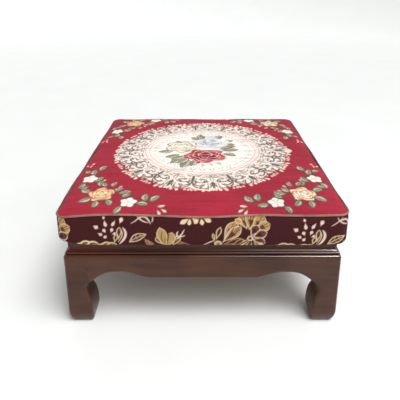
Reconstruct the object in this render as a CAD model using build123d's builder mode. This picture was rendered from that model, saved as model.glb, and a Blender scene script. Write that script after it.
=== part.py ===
"""Low waisted kneeling bench with a thick square loose cushion, in millimetres.

The bench is made the joiner's way: four hoof-foot legs, four scalloped aprons tenoned into
them, a recessed waist, a mitred top frame and a floating deck panel on two battens. The
cushion is a foam core inside a piped, zipped cover. The origin is on the floor under the
middle of the bench, +Z is up and -Y is the front.
"""

import os

from build123d import *

# Driving sizes of the bench
BASE_SIDE = 484.0
SHOULDER_Z = 141.0
DECK_Z = 165.2
FRAME_THICK = 12.0

# Driving sizes of the cushion
CUSHION_SIDE = 500.0
CUSHION_CORNER_R = 18.0
CUSHION_REST_GAP = 0.3
SEAM_Z = 223.0
CROWN_Z = 229.0

# Leg, all distances counted inwards from the bench's outer face
LEG_SIDE = 46.0
ANKLE_SIDE = 36.0
ANKLE_Z = 74.0
FOOT_SIDE = 44.5
FOOT_SIDE_Z = 25.0
CALF_Z = 54.0
SOLE_SIDE = 41.5
TOE_INSET = 7.0
TOE_Z = 25.0
EDGE_R = 5.0
SOLE_EDGE_R = 1.5

# Apron
APRON_THICK = 24.0
APRON_LOW_Z = 94.5
ARCH_TOP_Z = 106.5
ARCH_START_Z = 87.0
ARCH_START_SLOPE = 0.68
ARCH_HAUNCH_INSET = 60.0
ARCH_HAUNCH_Z = 97.5
ARCH_TOP_INSET = 90.0
OGEE_START_INSET = 98.0
OGEE_END_INSET = 154.0
MITRE_TOP_INSET = 24.0
TENON_THICK = 10.0
TENON_INSET = 8.0
TENON_TIP = 19.0
TENON_LOW_Z = 103.0
TENON_HIGH_Z = 131.0

# Waist, a cove over a small bead with a shadow groove under it
WAIST_FAR = 20.0
COVE_TOP_INSET = 10.0
COVE_LOW_INSET = 5.5
BEAD_INSET = 3.0
BEAD_HIGH = 3.5
GROOVE_INSET = 6.5
GROOVE_HIGH = 1.5

# Leg's top tenon, which goes through the corner of the waist into the frame
HEAD_TENON_NEAR = 20.0
HEAD_TENON_FAR = 38.0
HEAD_TENON_IN_FRAME = 6.0

# Top frame and panel
FRAME_INSET = 8.0
FRAME_WIDE = 50.0
FRAME_LOWER_R = 3.0
FRAME_UPPER_R = 2.0
FRAME_GROOVE_LIFT = 4.0
FRAME_GROOVE_HIGH = 4.0
FRAME_GROOVE_DEEP = 7.0
PANEL_GAP = 1.0

# Battens under the deck and their screws
BATTEN_X = 95.0
BATTEN_WIDE = 30.0
BATTEN_THICK = 10.0
BATTEN_END_INSET = 28.0
SCREW_INSET = 44.0
SCREW_HEAD_R = 4.0
SCREW_HEAD_HIGH = 3.0
SCREW_R = 2.0
SCREW_LONG = 19.0
SLOT_LONG = 6.6
SLOT_WIDE = 1.0
SLOT_DEEP = 1.2

# Glue blocks behind the aprons
BLOCK_LONG = 50.0
BLOCK_THICK = 22.0
BLOCK_BELOW_SHOULDER = 12.0
BLOCK_SPACING = 300.0

# Cushion cover, all distances counted inwards from the cushion's outer face
CLOTH_THICK = 2.0
PIPING_R = 2.5
CROWN_SIDE = 300.0
CROWN_CORNER_R = 60.0

# Zip in the back of the cover
ZIP_Z = 194.0
ZIP_LONG = 380.0
ZIP_MARGIN = 10.0
PLACKET_HIGH = 24.0
TAPE_IN = 7.5
TAPE_THICK = 1.0
TAPE_SLIT = 0.4
CHAIN_OUT = 6.0
CHAIN_HIGH = 5.0
STOP_LONG = 3.0
STOP_PROUD = 0.4
RUN_GAP = 0.3
SLIDER_LONG = 11.0
SLIDER_THICK = 2.0
SLIDER_FLANGE = 1.6
BRIDGE_LONG = 8.0
BRIDGE_WIDE = 3.0
BRIDGE_POST = 1.5
BRIDGE_OUT = 0.4
BRIDGE_THICK = 1.2
PIVOT_R = 0.7
PULL_THICK = 1.4
PULL_EYE_WIDE = 3.8
PULL_RAIL_WIDE = 1.2
PULL_EYE_LONG = 5.6
PULL_LONG = 24.0
PULL_TIP_R = 2.5

HALF = BASE_SIDE / 2
WAIST_TOP_Z = DECK_Z - FRAME_THICK
CUSHION_HALF = CUSHION_SIDE / 2
CUSHION_LOW_Z = DECK_Z + CUSHION_REST_GAP
QUARTER_TURNS = {"front": 0, "right": 90, "back": 180, "left": 270}
CORNER_TURNS = {"front_left": 0, "front_right": 90, "back_right": 180, "back_left": 270}

os.makedirs("parts", exist_ok=True)


def write_piece(piece, label):
    """Labels a finished piece and writes it as a STEP file of that name."""
    piece.part.label = label
    export_step(piece.part, f"parts/{label}.step")


def square_at(inset, plane, corner_r=0.0, half=CUSHION_HALF):
    """A square sketch on a plane, its sides an inset in from the outer faces."""
    with BuildSketch(plane) as outline:
        side = 2 * (half - inset)
        if corner_r > 0:
            RectangleRounded(side, side, corner_r)
        else:
            Rectangle(side, side)
    return outline.sketch


# ---------------------------------------------------------------- legs


def leg_outline(plane):
    """The leg seen square on: straight outside, narrow at the ankle, with a hoof foot."""
    near = -HALF
    with BuildSketch(plane) as outline:
        with BuildLine():
            Line((near, SHOULDER_Z), (near, TOE_Z))
            TangentArc((near, TOE_Z), (near + TOE_INSET, 0), tangent=(0, -1))
            Line((near + TOE_INSET, 0), (near + SOLE_SIDE, 0))
            Spline(
                (near + SOLE_SIDE, 0),
                (near + FOOT_SIDE, FOOT_SIDE_Z),
                (near + (ANKLE_SIDE + FOOT_SIDE) / 2, CALF_Z),
                (near + ANKLE_SIDE, ANKLE_Z),
                tangents=[(0.45, 1), (0, 1)],
            )
            Spline(
                (near + ANKLE_SIDE, ANKLE_Z),
                (near + LEG_SIDE, ARCH_START_Z),
                tangents=[(0, 1), (1, ARCH_START_SLOPE)],
            )
            Line((near + LEG_SIDE, ARCH_START_Z), (near + LEG_SIDE, SHOULDER_Z))
            Line((near + LEG_SIDE, SHOULDER_Z), (near, SHOULDER_Z))
        make_face()
    return outline.sketch


def apron_rebate(plane):
    """The part of a leg's face that the slanted end of an apron takes up."""
    near = -HALF
    with BuildSketch(plane) as outline:
        with BuildLine():
            Polyline(
                (near + LEG_SIDE, ARCH_START_Z),
                (near + MITRE_TOP_INSET, SHOULDER_Z),
                (near + LEG_SIDE, SHOULDER_Z),
                close=True,
            )
        make_face()
    return outline.sketch


FRONT_PLANE = Plane.XZ.offset(HALF)
LEFT_PLANE = Plane.YZ.offset(-HALF)
TENON_LONG = LEG_SIDE - TENON_TIP
TENON_HIGH = TENON_HIGH_Z - TENON_LOW_Z
HEAD_TENON_TOP_Z = WAIST_TOP_Z + HEAD_TENON_IN_FRAME
TENON_ACROSS, TENON_ALONG, TENON_UP = (
    -HALF + (TENON_TIP + LEG_SIDE) / 2,
    -HALF + TENON_INSET + TENON_THICK / 2,
    (TENON_LOW_Z + TENON_HIGH_Z) / 2,
)
HEAD_TENON_SIDE = HEAD_TENON_FAR - HEAD_TENON_NEAR
HEAD_TENON_MID = -HALF + (HEAD_TENON_NEAR + HEAD_TENON_FAR) / 2

with BuildPart() as leg_blank:
    extrude(leg_outline(FRONT_PLANE), amount=-LEG_SIDE)
    extrude(leg_outline(LEFT_PLANE), amount=LEG_SIDE, mode=Mode.INTERSECT)
    front_face = leg_blank.faces().sort_by(Axis.Y)[0]
    left_face = leg_blank.faces().sort_by(Axis.X)[0]
    outer_corner = [
        edge
        for edge in leg_blank.edges()
        if edge.center().X < -HALF + EDGE_R and edge.center().Y < -HALF + EDGE_R
    ]
    shoulder_edges = front_face.edges().sort_by(Axis.Z)[-1:] + left_face.edges().sort_by(Axis.Z)[-1:]
    fillet(outer_corner + shoulder_edges, EDGE_R)
    inner_outline = [
        edge
        for edge in leg_blank.edges()
        if edge.center().Z < ARCH_START_Z
        and min(edge.center().X, edge.center().Y) < -HALF + EDGE_R
        and max(edge.center().X, edge.center().Y) > -HALF + ANKLE_SIDE
    ]
    fillet(inner_outline, EDGE_R)
    extrude(apron_rebate(FRONT_PLANE), amount=-APRON_THICK, mode=Mode.SUBTRACT)
    extrude(apron_rebate(LEFT_PLANE), amount=APRON_THICK, mode=Mode.SUBTRACT)
    with Locations((TENON_ACROSS, TENON_ALONG, TENON_UP)):
        Box(TENON_LONG, TENON_THICK, TENON_HIGH, mode=Mode.SUBTRACT)
    with Locations((TENON_ALONG, TENON_ACROSS, TENON_UP)):
        Box(TENON_THICK, TENON_LONG, TENON_HIGH, mode=Mode.SUBTRACT)
    with Locations((HEAD_TENON_MID, HEAD_TENON_MID, SHOULDER_Z)):
        Box(
            HEAD_TENON_SIDE,
            HEAD_TENON_SIDE,
            HEAD_TENON_TOP_Z - SHOULDER_Z,
            align=(Align.CENTER, Align.CENTER, Align.MIN),
        )
    sole = leg_blank.faces().sort_by(Axis.Z)[0]
    fillet(sole.edges(), SOLE_EDGE_R)

for corner, turn in CORNER_TURNS.items():
    with BuildPart() as leg:
        add(leg_blank.part, rotation=(0, 0, turn))
    write_piece(leg, f"leg_{corner}")

# ---------------------------------------------------------------- aprons

with BuildPart() as apron_blank:
    with BuildSketch(FRONT_PLANE):
        with BuildLine():
            Line((0, SHOULDER_Z), (-HALF + MITRE_TOP_INSET, SHOULDER_Z))
            Line((-HALF + MITRE_TOP_INSET, SHOULDER_Z), (-HALF + LEG_SIDE, ARCH_START_Z))
            Spline(
                (-HALF + LEG_SIDE, ARCH_START_Z),
                (-HALF + ARCH_HAUNCH_INSET, ARCH_HAUNCH_Z),
                (-HALF + ARCH_TOP_INSET, ARCH_TOP_Z),
                tangents=[(1, ARCH_START_SLOPE), (1, 0)],
            )
            Line((-HALF + ARCH_TOP_INSET, ARCH_TOP_Z), (-HALF + OGEE_START_INSET, ARCH_TOP_Z))
            Spline(
                (-HALF + OGEE_START_INSET, ARCH_TOP_Z),
                (-HALF + (OGEE_START_INSET + OGEE_END_INSET) / 2, (ARCH_TOP_Z + APRON_LOW_Z) / 2),
                (-HALF + OGEE_END_INSET, APRON_LOW_Z),
                tangents=[(1, 0), (1, 0)],
            )
            Line((-HALF + OGEE_END_INSET, APRON_LOW_Z), (0, APRON_LOW_Z))
            mirror(about=Plane.YZ)
        make_face()
    extrude(amount=-APRON_THICK)
    face_edges = apron_blank.faces().sort_by(Axis.Y)[0].edges()
    fillet(face_edges.sort_by(Axis.Z)[-1], EDGE_R)
    face_edges = apron_blank.faces().sort_by(Axis.Y)[0].edges()
    fillet(face_edges.filter_by_position(Axis.Z, 0, ARCH_TOP_Z + 1), EDGE_R)
    with Locations(*[(x, TENON_ALONG, TENON_UP) for x in (TENON_ACROSS, -TENON_ACROSS)]):
        Box(TENON_LONG, TENON_THICK, TENON_HIGH)

for side, turn in QUARTER_TURNS.items():
    with BuildPart() as apron:
        add(apron_blank.part, rotation=(0, 0, turn))
    write_piece(apron, f"apron_{side}")

# ---------------------------------------------------------------- waist


with BuildPart() as waist_blank:
    with BuildSketch(Plane.YZ.offset(-HALF)):
        bead_low_z = SHOULDER_Z + GROOVE_HIGH
        bead_top_z = bead_low_z + BEAD_HIGH
        with BuildLine():
            Polyline(
                (-HALF + COVE_TOP_INSET, WAIST_TOP_Z),
                (-HALF + WAIST_FAR, WAIST_TOP_Z),
                (-HALF + WAIST_FAR, SHOULDER_Z),
                (-HALF + GROOVE_INSET, SHOULDER_Z),
                (-HALF + GROOVE_INSET, bead_low_z),
                (-HALF + COVE_LOW_INSET, bead_low_z),
            )
            ThreePointArc(
                (-HALF + COVE_LOW_INSET, bead_low_z),
                (-HALF + BEAD_INSET, (bead_low_z + bead_top_z) / 2),
                (-HALF + COVE_LOW_INSET, bead_top_z),
            )
            TangentArc(
                (-HALF + COVE_TOP_INSET, WAIST_TOP_Z), (-HALF + COVE_LOW_INSET, bead_top_z), tangent=(0, -1)
            )
        make_face()
    extrude(amount=BASE_SIDE)
    split(bisect_by=Plane((0, 0, 0), z_dir=(1, -1, 0)), keep=Keep.TOP)
    split(bisect_by=Plane((0, 0, 0), z_dir=(-1, -1, 0)), keep=Keep.TOP)

for side, turn in QUARTER_TURNS.items():
    with BuildPart() as waist:
        add(waist_blank.part, rotation=(0, 0, turn))
    write_piece(waist, f"waist_{side}")

# ---------------------------------------------------------------- top frame and panel

FRAME_FAR = FRAME_INSET + FRAME_WIDE
GROOVE_LOW_Z = WAIST_TOP_Z + FRAME_GROOVE_LIFT
GROOVE_HIGH_Z = GROOVE_LOW_Z + FRAME_GROOVE_HIGH
HEAD_TENON_MIDS = [(x, HEAD_TENON_MID) for x in (HEAD_TENON_MID, -HEAD_TENON_MID)]
SCREW_SPOTS = [(x, -HALF + SCREW_INSET) for x in (-BATTEN_X, BATTEN_X)]

def mitred_strip(near, far, plane):
    """The plan of one front strip between two insets, cut at 45 degrees at both ends."""
    outer, inner = HALF - near, HALF - far
    with BuildSketch(plane) as outline:
        Polygon((-outer, -outer), (outer, -outer), (inner, -inner), (-inner, -inner), align=None)
    return outline.sketch


with BuildPart() as frame_blank:
    extrude(
        mitred_strip(FRAME_INSET, FRAME_FAR, Plane.XY.offset(WAIST_TOP_Z)),
        amount=DECK_Z - WAIST_TOP_Z,
    )
    front_edges = frame_blank.faces().sort_by(Axis.Y)[0].edges().filter_by(Axis.X)
    fillet(front_edges.sort_by(Axis.Z)[0], FRAME_LOWER_R)
    front_edges = frame_blank.faces().sort_by(Axis.Y)[0].edges().filter_by(Axis.X)
    fillet(front_edges.sort_by(Axis.Z)[-1], FRAME_UPPER_R)
    extrude(
        mitred_strip(FRAME_FAR - FRAME_GROOVE_DEEP, FRAME_FAR, Plane.XY.offset(GROOVE_LOW_Z)),
        amount=GROOVE_HIGH_Z - GROOVE_LOW_Z,
        mode=Mode.SUBTRACT,
    )
    with BuildSketch(Plane.XY.offset(WAIST_TOP_Z)):
        with Locations(*HEAD_TENON_MIDS):
            Rectangle(HEAD_TENON_SIDE, HEAD_TENON_SIDE)
    extrude(amount=HEAD_TENON_TOP_Z - WAIST_TOP_Z, mode=Mode.SUBTRACT)

with BuildPart() as frame_front_blank:
    add(frame_blank.part)
    with BuildSketch(Plane.XY.offset(WAIST_TOP_Z)):
        with Locations(*SCREW_SPOTS):
            Circle(SCREW_R)
    extrude(amount=SCREW_LONG - BATTEN_THICK, mode=Mode.SUBTRACT)

for side, turn in QUARTER_TURNS.items():
    with BuildPart() as frame_member:
        blank = frame_front_blank if side in ("front", "back") else frame_blank
        add(blank.part, rotation=(0, 0, turn))
    write_piece(frame_member, f"top_frame_{side}")

with BuildPart() as deck_panel:
    tongue_inset = FRAME_FAR - FRAME_GROOVE_DEEP + PANEL_GAP
    extrude(
        square_at(tongue_inset, Plane.XY.offset(GROOVE_LOW_Z), half=HALF),
        amount=GROOVE_HIGH_Z - GROOVE_LOW_Z,
    )
    extrude(
        square_at(FRAME_FAR + PANEL_GAP, Plane.XY.offset(GROOVE_HIGH_Z), half=HALF),
        amount=DECK_Z - GROOVE_HIGH_Z,
    )
write_piece(deck_panel, "deck_panel")

# ---------------------------------------------------------------- battens, screws, blocks

BATTEN_LOW_Z = WAIST_TOP_Z - BATTEN_THICK
SCREW_Y = HALF - SCREW_INSET
ON_FLOOR = (Align.CENTER, Align.CENTER, Align.MIN)

for side, x in {"left": -BATTEN_X, "right": BATTEN_X}.items():
    with BuildPart() as batten:
        with Locations((x, 0, BATTEN_LOW_Z)):
            Box(BATTEN_WIDE, 2 * (HALF - BATTEN_END_INSET), BATTEN_THICK, align=ON_FLOOR)
        with Locations((x, 0, WAIST_TOP_Z)):
            Box(BATTEN_WIDE, 2 * (HALF - FRAME_FAR), FRAME_GROOVE_LIFT, align=ON_FLOOR)
        with Locations((x, -SCREW_Y, BATTEN_LOW_Z), (x, SCREW_Y, BATTEN_LOW_Z)):
            Cone(SCREW_HEAD_R, SCREW_R, SCREW_HEAD_HIGH, align=ON_FLOOR, mode=Mode.SUBTRACT)
            Cylinder(SCREW_R, BATTEN_THICK, align=ON_FLOOR, mode=Mode.SUBTRACT)
    write_piece(batten, f"deck_batten_{side}")

with BuildPart() as deck_screws:
    with Locations(*[(x, y, BATTEN_LOW_Z) for x in (-BATTEN_X, BATTEN_X) for y in (-SCREW_Y, SCREW_Y)]):
        Cylinder(SCREW_R, SCREW_LONG, align=ON_FLOOR)
        Cone(SCREW_HEAD_R, SCREW_R, SCREW_HEAD_HIGH, align=ON_FLOOR)
        Box(SLOT_LONG, SLOT_WIDE, SLOT_DEEP, align=ON_FLOOR, mode=Mode.SUBTRACT)
write_piece(deck_screws, "deck_screws")

with BuildPart() as glue_blocks:
    with BuildSketch(Plane.XY.offset(SHOULDER_Z - BLOCK_BELOW_SHOULDER)):
        with PolarLocations(HALF - APRON_THICK - BLOCK_THICK / 2, len(QUARTER_TURNS)):
            with GridLocations(0, BLOCK_SPACING, 1, 2):
                Rectangle(BLOCK_THICK, BLOCK_LONG)
    extrude(amount=WAIST_TOP_Z - SHOULDER_Z + BLOCK_BELOW_SHOULDER)
write_piece(glue_blocks, "glue_blocks")

# ---------------------------------------------------------------- cushion

BAND_OUT = PIPING_R
BAND_IN = BAND_OUT + CLOTH_THICK
BAND_CORNER_R = CUSHION_CORNER_R - BAND_OUT
FOAM_CORNER_R = CUSHION_CORNER_R - BAND_IN
FOAM_LOW_Z = CUSHION_LOW_Z + CLOTH_THICK
BAND_TOP_Z = SEAM_Z - PIPING_R
PLACKET_LONG = ZIP_LONG + 2 * ZIP_MARGIN
PLACKET_DEEP = TAPE_IN + TAPE_THICK
BACK = CUSHION_HALF


def back_box(x, z, long, high, out, deep):
    """A box in the cushion's back, from one distance to another in from its outer face."""
    with BuildPart() as block:
        with BuildSketch(Plane.XZ.offset(out - BACK)):
            with Locations((x, z)):
                Rectangle(long, high)
        extrude(amount=deep - out)
    return block.part


with BuildPart() as foam_core:
    extrude(
        square_at(BAND_IN, Plane.XY.offset(FOAM_LOW_Z), FOAM_CORNER_R), amount=BAND_TOP_Z - FOAM_LOW_Z
    )
    add(back_box(0, ZIP_Z, PLACKET_LONG, PLACKET_HIGH, 0, PLACKET_DEEP), mode=Mode.SUBTRACT)
write_piece(foam_core, "foam_core")

with BuildPart() as cover_band:
    extrude(
        square_at(BAND_OUT, Plane.XY.offset(FOAM_LOW_Z), BAND_CORNER_R), amount=BAND_TOP_Z - FOAM_LOW_Z
    )
    extrude(
        square_at(BAND_IN, Plane.XY.offset(FOAM_LOW_Z), FOAM_CORNER_R),
        amount=BAND_TOP_Z - FOAM_LOW_Z,
        mode=Mode.SUBTRACT,
    )
    add(back_box(0, ZIP_Z, PLACKET_LONG, PLACKET_HIGH, 0, PLACKET_DEEP), mode=Mode.SUBTRACT)
write_piece(cover_band, "cover_band")

with BuildPart() as cover_bottom:
    extrude(
        square_at(BAND_OUT, Plane.XY.offset(CUSHION_LOW_Z), BAND_CORNER_R), amount=CLOTH_THICK
    )
write_piece(cover_bottom, "cover_bottom")

with BuildPart() as cover_top:
    top_inset = 2 * PIPING_R
    top_corner_r = CUSHION_CORNER_R - top_inset
    extrude(square_at(top_inset, Plane.XY.offset(BAND_TOP_Z), top_corner_r), amount=SEAM_Z - BAND_TOP_Z)
    add(square_at(top_inset, Plane.XY.offset(SEAM_Z), top_corner_r))
    add(square_at(0, Plane.XY.offset(CROWN_Z), CROWN_CORNER_R, half=CROWN_SIDE / 2))
    loft()
write_piece(cover_top, "cover_top")

with BuildPart() as piping_top:
    with BuildLine(Plane.XY.offset(SEAM_Z)) as seam_path:
        seam = square_at(PIPING_R, Plane.XY.offset(SEAM_Z), CUSHION_CORNER_R - PIPING_R)
        add(seam.face().outer_wire())
    with BuildSketch(Plane(seam_path.line @ 0, z_dir=seam_path.line % 0)):
        Circle(PIPING_R)
    sweep(path=seam_path.line)
write_piece(piping_top, "piping_top")

# ---------------------------------------------------------------- zip

tape_high = (PLACKET_HIGH - TAPE_SLIT) / 2
for name, way in {"upper": 1, "lower": -1}.items():
    with BuildPart() as zip_tape:
        middle_z = ZIP_Z + way * (TAPE_SLIT + tape_high) / 2
        add(back_box(0, middle_z, PLACKET_LONG, tape_high, TAPE_IN, TAPE_IN + TAPE_THICK))
    write_piece(zip_tape, f"zip_tape_{name}")

with BuildPart() as zip_chain:
    add(back_box(0, ZIP_Z, ZIP_LONG, CHAIN_HIGH, CHAIN_OUT, TAPE_IN))
write_piece(zip_chain, "zip_chain")

with BuildPart() as zip_stops:
    stop_x = (ZIP_LONG + STOP_LONG) / 2
    for x in (-stop_x, stop_x):
        add(back_box(x, ZIP_Z, STOP_LONG, CHAIN_HIGH + 2 * STOP_PROUD, CHAIN_OUT - STOP_PROUD, TAPE_IN))
write_piece(zip_stops, "zip_stops")

SLIDER_X = ZIP_LONG / 2 - SLIDER_LONG / 2 - RUN_GAP
SLIDER_IN = CHAIN_OUT - RUN_GAP
SLIDER_OUT = SLIDER_IN - SLIDER_THICK
SLIDER_HIGH = CHAIN_HIGH + 2 * (RUN_GAP + SLIDER_FLANGE)
PIVOT_IN = (BRIDGE_OUT + BRIDGE_THICK + SLIDER_OUT) / 2

with BuildPart() as zip_slider:
    add(back_box(SLIDER_X, ZIP_Z, SLIDER_LONG, SLIDER_HIGH, SLIDER_OUT, TAPE_IN - RUN_GAP))
    add(
        back_box(SLIDER_X, ZIP_Z, 2 * SLIDER_LONG, CHAIN_HIGH + 2 * RUN_GAP, SLIDER_IN, PLACKET_DEEP),
        mode=Mode.SUBTRACT,
    )
    add(back_box(SLIDER_X, ZIP_Z, BRIDGE_LONG, BRIDGE_WIDE, BRIDGE_OUT, SLIDER_OUT))
    add(
        back_box(
            SLIDER_X,
            ZIP_Z,
            BRIDGE_LONG - 2 * BRIDGE_POST,
            2 * BRIDGE_WIDE,
            BRIDGE_OUT + BRIDGE_THICK,
            SLIDER_OUT,
        ),
        mode=Mode.SUBTRACT,
    )
write_piece(zip_slider, "zip_slider")

with BuildPart() as zip_pull:
    pull_out = PIVOT_IN - PULL_THICK / 2
    pull_in = PIVOT_IN + PULL_THICK / 2
    pull_high = PULL_EYE_WIDE + 2 * PULL_RAIL_WIDE
    add(back_box(SLIDER_X - PULL_LONG / 2, ZIP_Z, PULL_LONG, pull_high, pull_out, pull_in))
    fillet(zip_pull.edges().filter_by(Axis.Y).group_by(Axis.X)[0], PULL_TIP_R)
    add(
        back_box(SLIDER_X - PULL_EYE_LONG / 2, ZIP_Z, PULL_EYE_LONG, PULL_EYE_WIDE, pull_out, pull_in),
        mode=Mode.SUBTRACT,
    )
    with Locations((SLIDER_X, BACK - PIVOT_IN, ZIP_Z)):
        Cylinder(PIVOT_R, pull_high)
write_piece(zip_pull, "zip_pull")

print("zip pull pivot", SLIDER_X, BACK - PIVOT_IN, ZIP_Z)
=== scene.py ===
"""The looks of a kneeling bench: a lacquered stand on hoof legs, and a boxed cushion with a woven top.

Lengths of the cloth's pattern are in millimetres of the flat cut; everything else is in metres.
"""

import logging
import math
from dataclasses import dataclass, field
from enum import Enum
from typing import Iterable, Sequence

import bpy
import numpy as np
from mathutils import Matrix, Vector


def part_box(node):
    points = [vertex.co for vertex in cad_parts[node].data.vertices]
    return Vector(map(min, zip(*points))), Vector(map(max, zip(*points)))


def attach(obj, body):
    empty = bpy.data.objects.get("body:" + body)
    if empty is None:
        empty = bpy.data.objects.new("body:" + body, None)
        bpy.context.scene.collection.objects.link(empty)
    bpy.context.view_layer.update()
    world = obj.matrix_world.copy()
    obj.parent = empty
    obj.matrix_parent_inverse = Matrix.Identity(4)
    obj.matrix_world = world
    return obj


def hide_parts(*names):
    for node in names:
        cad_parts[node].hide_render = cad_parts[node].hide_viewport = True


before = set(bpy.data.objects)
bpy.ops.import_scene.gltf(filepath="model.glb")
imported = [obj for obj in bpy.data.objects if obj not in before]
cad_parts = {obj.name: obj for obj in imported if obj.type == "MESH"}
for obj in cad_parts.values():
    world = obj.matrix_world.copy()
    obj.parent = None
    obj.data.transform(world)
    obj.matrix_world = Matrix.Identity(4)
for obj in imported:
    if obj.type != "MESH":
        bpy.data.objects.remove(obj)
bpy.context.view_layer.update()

LOG = logging.getLogger("kneeling_bench")
MM = 0.001
TURN = 2 * math.pi
BRIGHTEST = 255
EYE_POWER = 2.2
TINY = 1e-9
OUTSIDE = -9.0
Colour = tuple[float, float, float]
Spot = tuple[float, float]
Place = tuple[float, float, float]
# A petal's x, y, turn, length and width, and a stroke's start, pull, end and width.
Drop = tuple[float, float, float, float, float]
Curve = tuple[Spot, Spot, Spot, float]


# ---------------------------------------------------------------- small helpers


def dye(red: int, green: int, blue: int) -> Colour:
    """A colour as the eye names it, 0 to 255 a channel, turned into light: each channel to the power 2.2."""
    return tuple((c / BRIGHTEST) ** EYE_POWER for c in (red, green, blue))


def scaled(colour: Colour, share: float) -> Colour:
    """The colour, brighter or darker by a share."""
    return tuple(c * share for c in colour)


def smooth(values: np.ndarray, low: float, high: float) -> np.ndarray:
    """A soft step: 0 below low, 1 above high, and 3t2 - 2t3 between them."""
    t = np.clip((values - low) / (high - low), 0, 1)
    return t * t * (3 - 2 * t)


def bump_at(values: np.ndarray, centre: float, width: float) -> np.ndarray:
    """A bell of height 1: e to the power of minus the squared distance in widths."""
    return np.exp(-(((values - centre) / width) ** 2))


def ripple(place: np.ndarray, lengths: Sequence[float], seed: int) -> np.ndarray:
    """Uneven waves from -1 to 1: the mean of one sine a wavelength, each with a seeded phase.

    Args:
        place: how far along each point is.
        lengths: the wavelengths, in the same unit.
        seed: the seed of the phases.

    Returns:
        The wave's height at each point.
    """
    phases = np.random.default_rng(seed).uniform(0, TURN, len(lengths))
    waves = [np.sin(TURN * place / length + phase) for length, phase in zip(lengths, phases)]
    return sum(waves) / len(lengths)


def resampler(count_from: int, count_to: int, closed: bool) -> np.ndarray:
    """Weights that read a row of samples at more places, by the Catmull-Rom cubic of the four nearest.

    Args:
        count_from: how many samples the row has.
        count_to: how many places are read.
        closed: whether the row closes on itself, so that the last place stops short of the first.

    Returns:
        A matrix of count_to rows and count_from columns; its rows add up to 1.
    """
    span = count_from if closed else count_from - 1
    place = np.arange(count_to) * span / (count_to if closed else count_to - 1)
    cell = np.minimum(np.floor(place).astype(int), span - 1)
    t = place - cell
    weights = (
        -0.5 * t + t**2 - 0.5 * t**3,
        1 - 2.5 * t**2 + 1.5 * t**3,
        0.5 * t + 2 * t**2 - 1.5 * t**3,
        -0.5 * t**2 + 0.5 * t**3,
    )
    matrix = np.zeros((count_to, count_from))
    rows = np.arange(count_to)
    for shift, weight in enumerate(weights, -1):
        column = cell + shift
        column = column % count_from if closed else np.clip(column, 0, count_from - 1)
        np.add.at(matrix, (rows, column), weight)
    return matrix


def sheet_faces(index: np.ndarray) -> np.ndarray:
    """Quads between the neighbours of a table of vertex numbers, one row of four numbers a quad."""
    corners = (index[:-1, :-1], index[:-1, 1:], index[1:, 1:], index[1:, :-1])
    return np.stack([c.ravel() for c in corners], axis=1)


def looped(index: np.ndarray, axis: int) -> np.ndarray:
    """The table with its first row or column repeated at the end, so that the faces close on themselves."""
    return np.concatenate([index, np.take(index, [0], axis=axis)], axis=axis)


def listed(*grids: np.ndarray) -> np.ndarray:
    """Every point of some grids in one list, one row of three numbers each."""
    return np.concatenate([grid.reshape(-1, 3) for grid in grids])


def make_piece(
    name: str, points: np.ndarray, faces: Iterable[np.ndarray], finish: bpy.types.Material | None
) -> bpy.types.Object:
    """A new mesh object at the origin.

    Args:
        name: the piece's name.
        points: its vertices, one row of three numbers each.
        faces: tables of quads or triangles, each a row of vertex numbers.
        finish: its material, or None.

    Returns:
        The object, smooth shaded.
    """
    tables = list(faces)
    loops = np.concatenate([t.ravel() for t in tables]).astype(np.int32)
    totals = np.concatenate([np.full(len(t), t.shape[1], np.int32) for t in tables])
    starts = np.concatenate([[0], np.cumsum(totals)[:-1]]).astype(np.int32)
    mesh = bpy.data.meshes.new(name)
    mesh.vertices.add(len(points))
    mesh.vertices.foreach_set("co", np.asarray(points, np.float32).ravel())
    mesh.loops.add(len(loops))
    mesh.loops.foreach_set("vertex_index", loops)
    mesh.polygons.add(len(totals))
    mesh.polygons.foreach_set("loop_start", starts)
    mesh.polygons.foreach_set("use_smooth", np.ones(len(totals), bool))
    mesh.update(calc_edges=True)
    mesh.validate()
    piece = bpy.data.objects.new(name, mesh)
    bpy.context.scene.collection.objects.link(piece)
    if finish is not None:
        mesh.materials.append(finish)
    LOG.info("%s: %d vertices, %d faces", name, len(points), len(totals))
    return piece


def paint(piece: bpy.types.Object, name: str, colour: np.ndarray) -> None:
    """Gives each vertex of a piece a colour.

    Args:
        piece: the piece.
        name: the attribute's name.
        colour: one row of three numbers a vertex.
    """
    attribute = piece.data.color_attributes.new(name, "FLOAT_COLOR", "POINT")
    full = np.ones((len(colour), 4), np.float32)
    full[:, :3] = colour
    attribute.data.foreach_set("color", full.ravel())


# ---------------------------------------------------------------- shader maths


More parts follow.
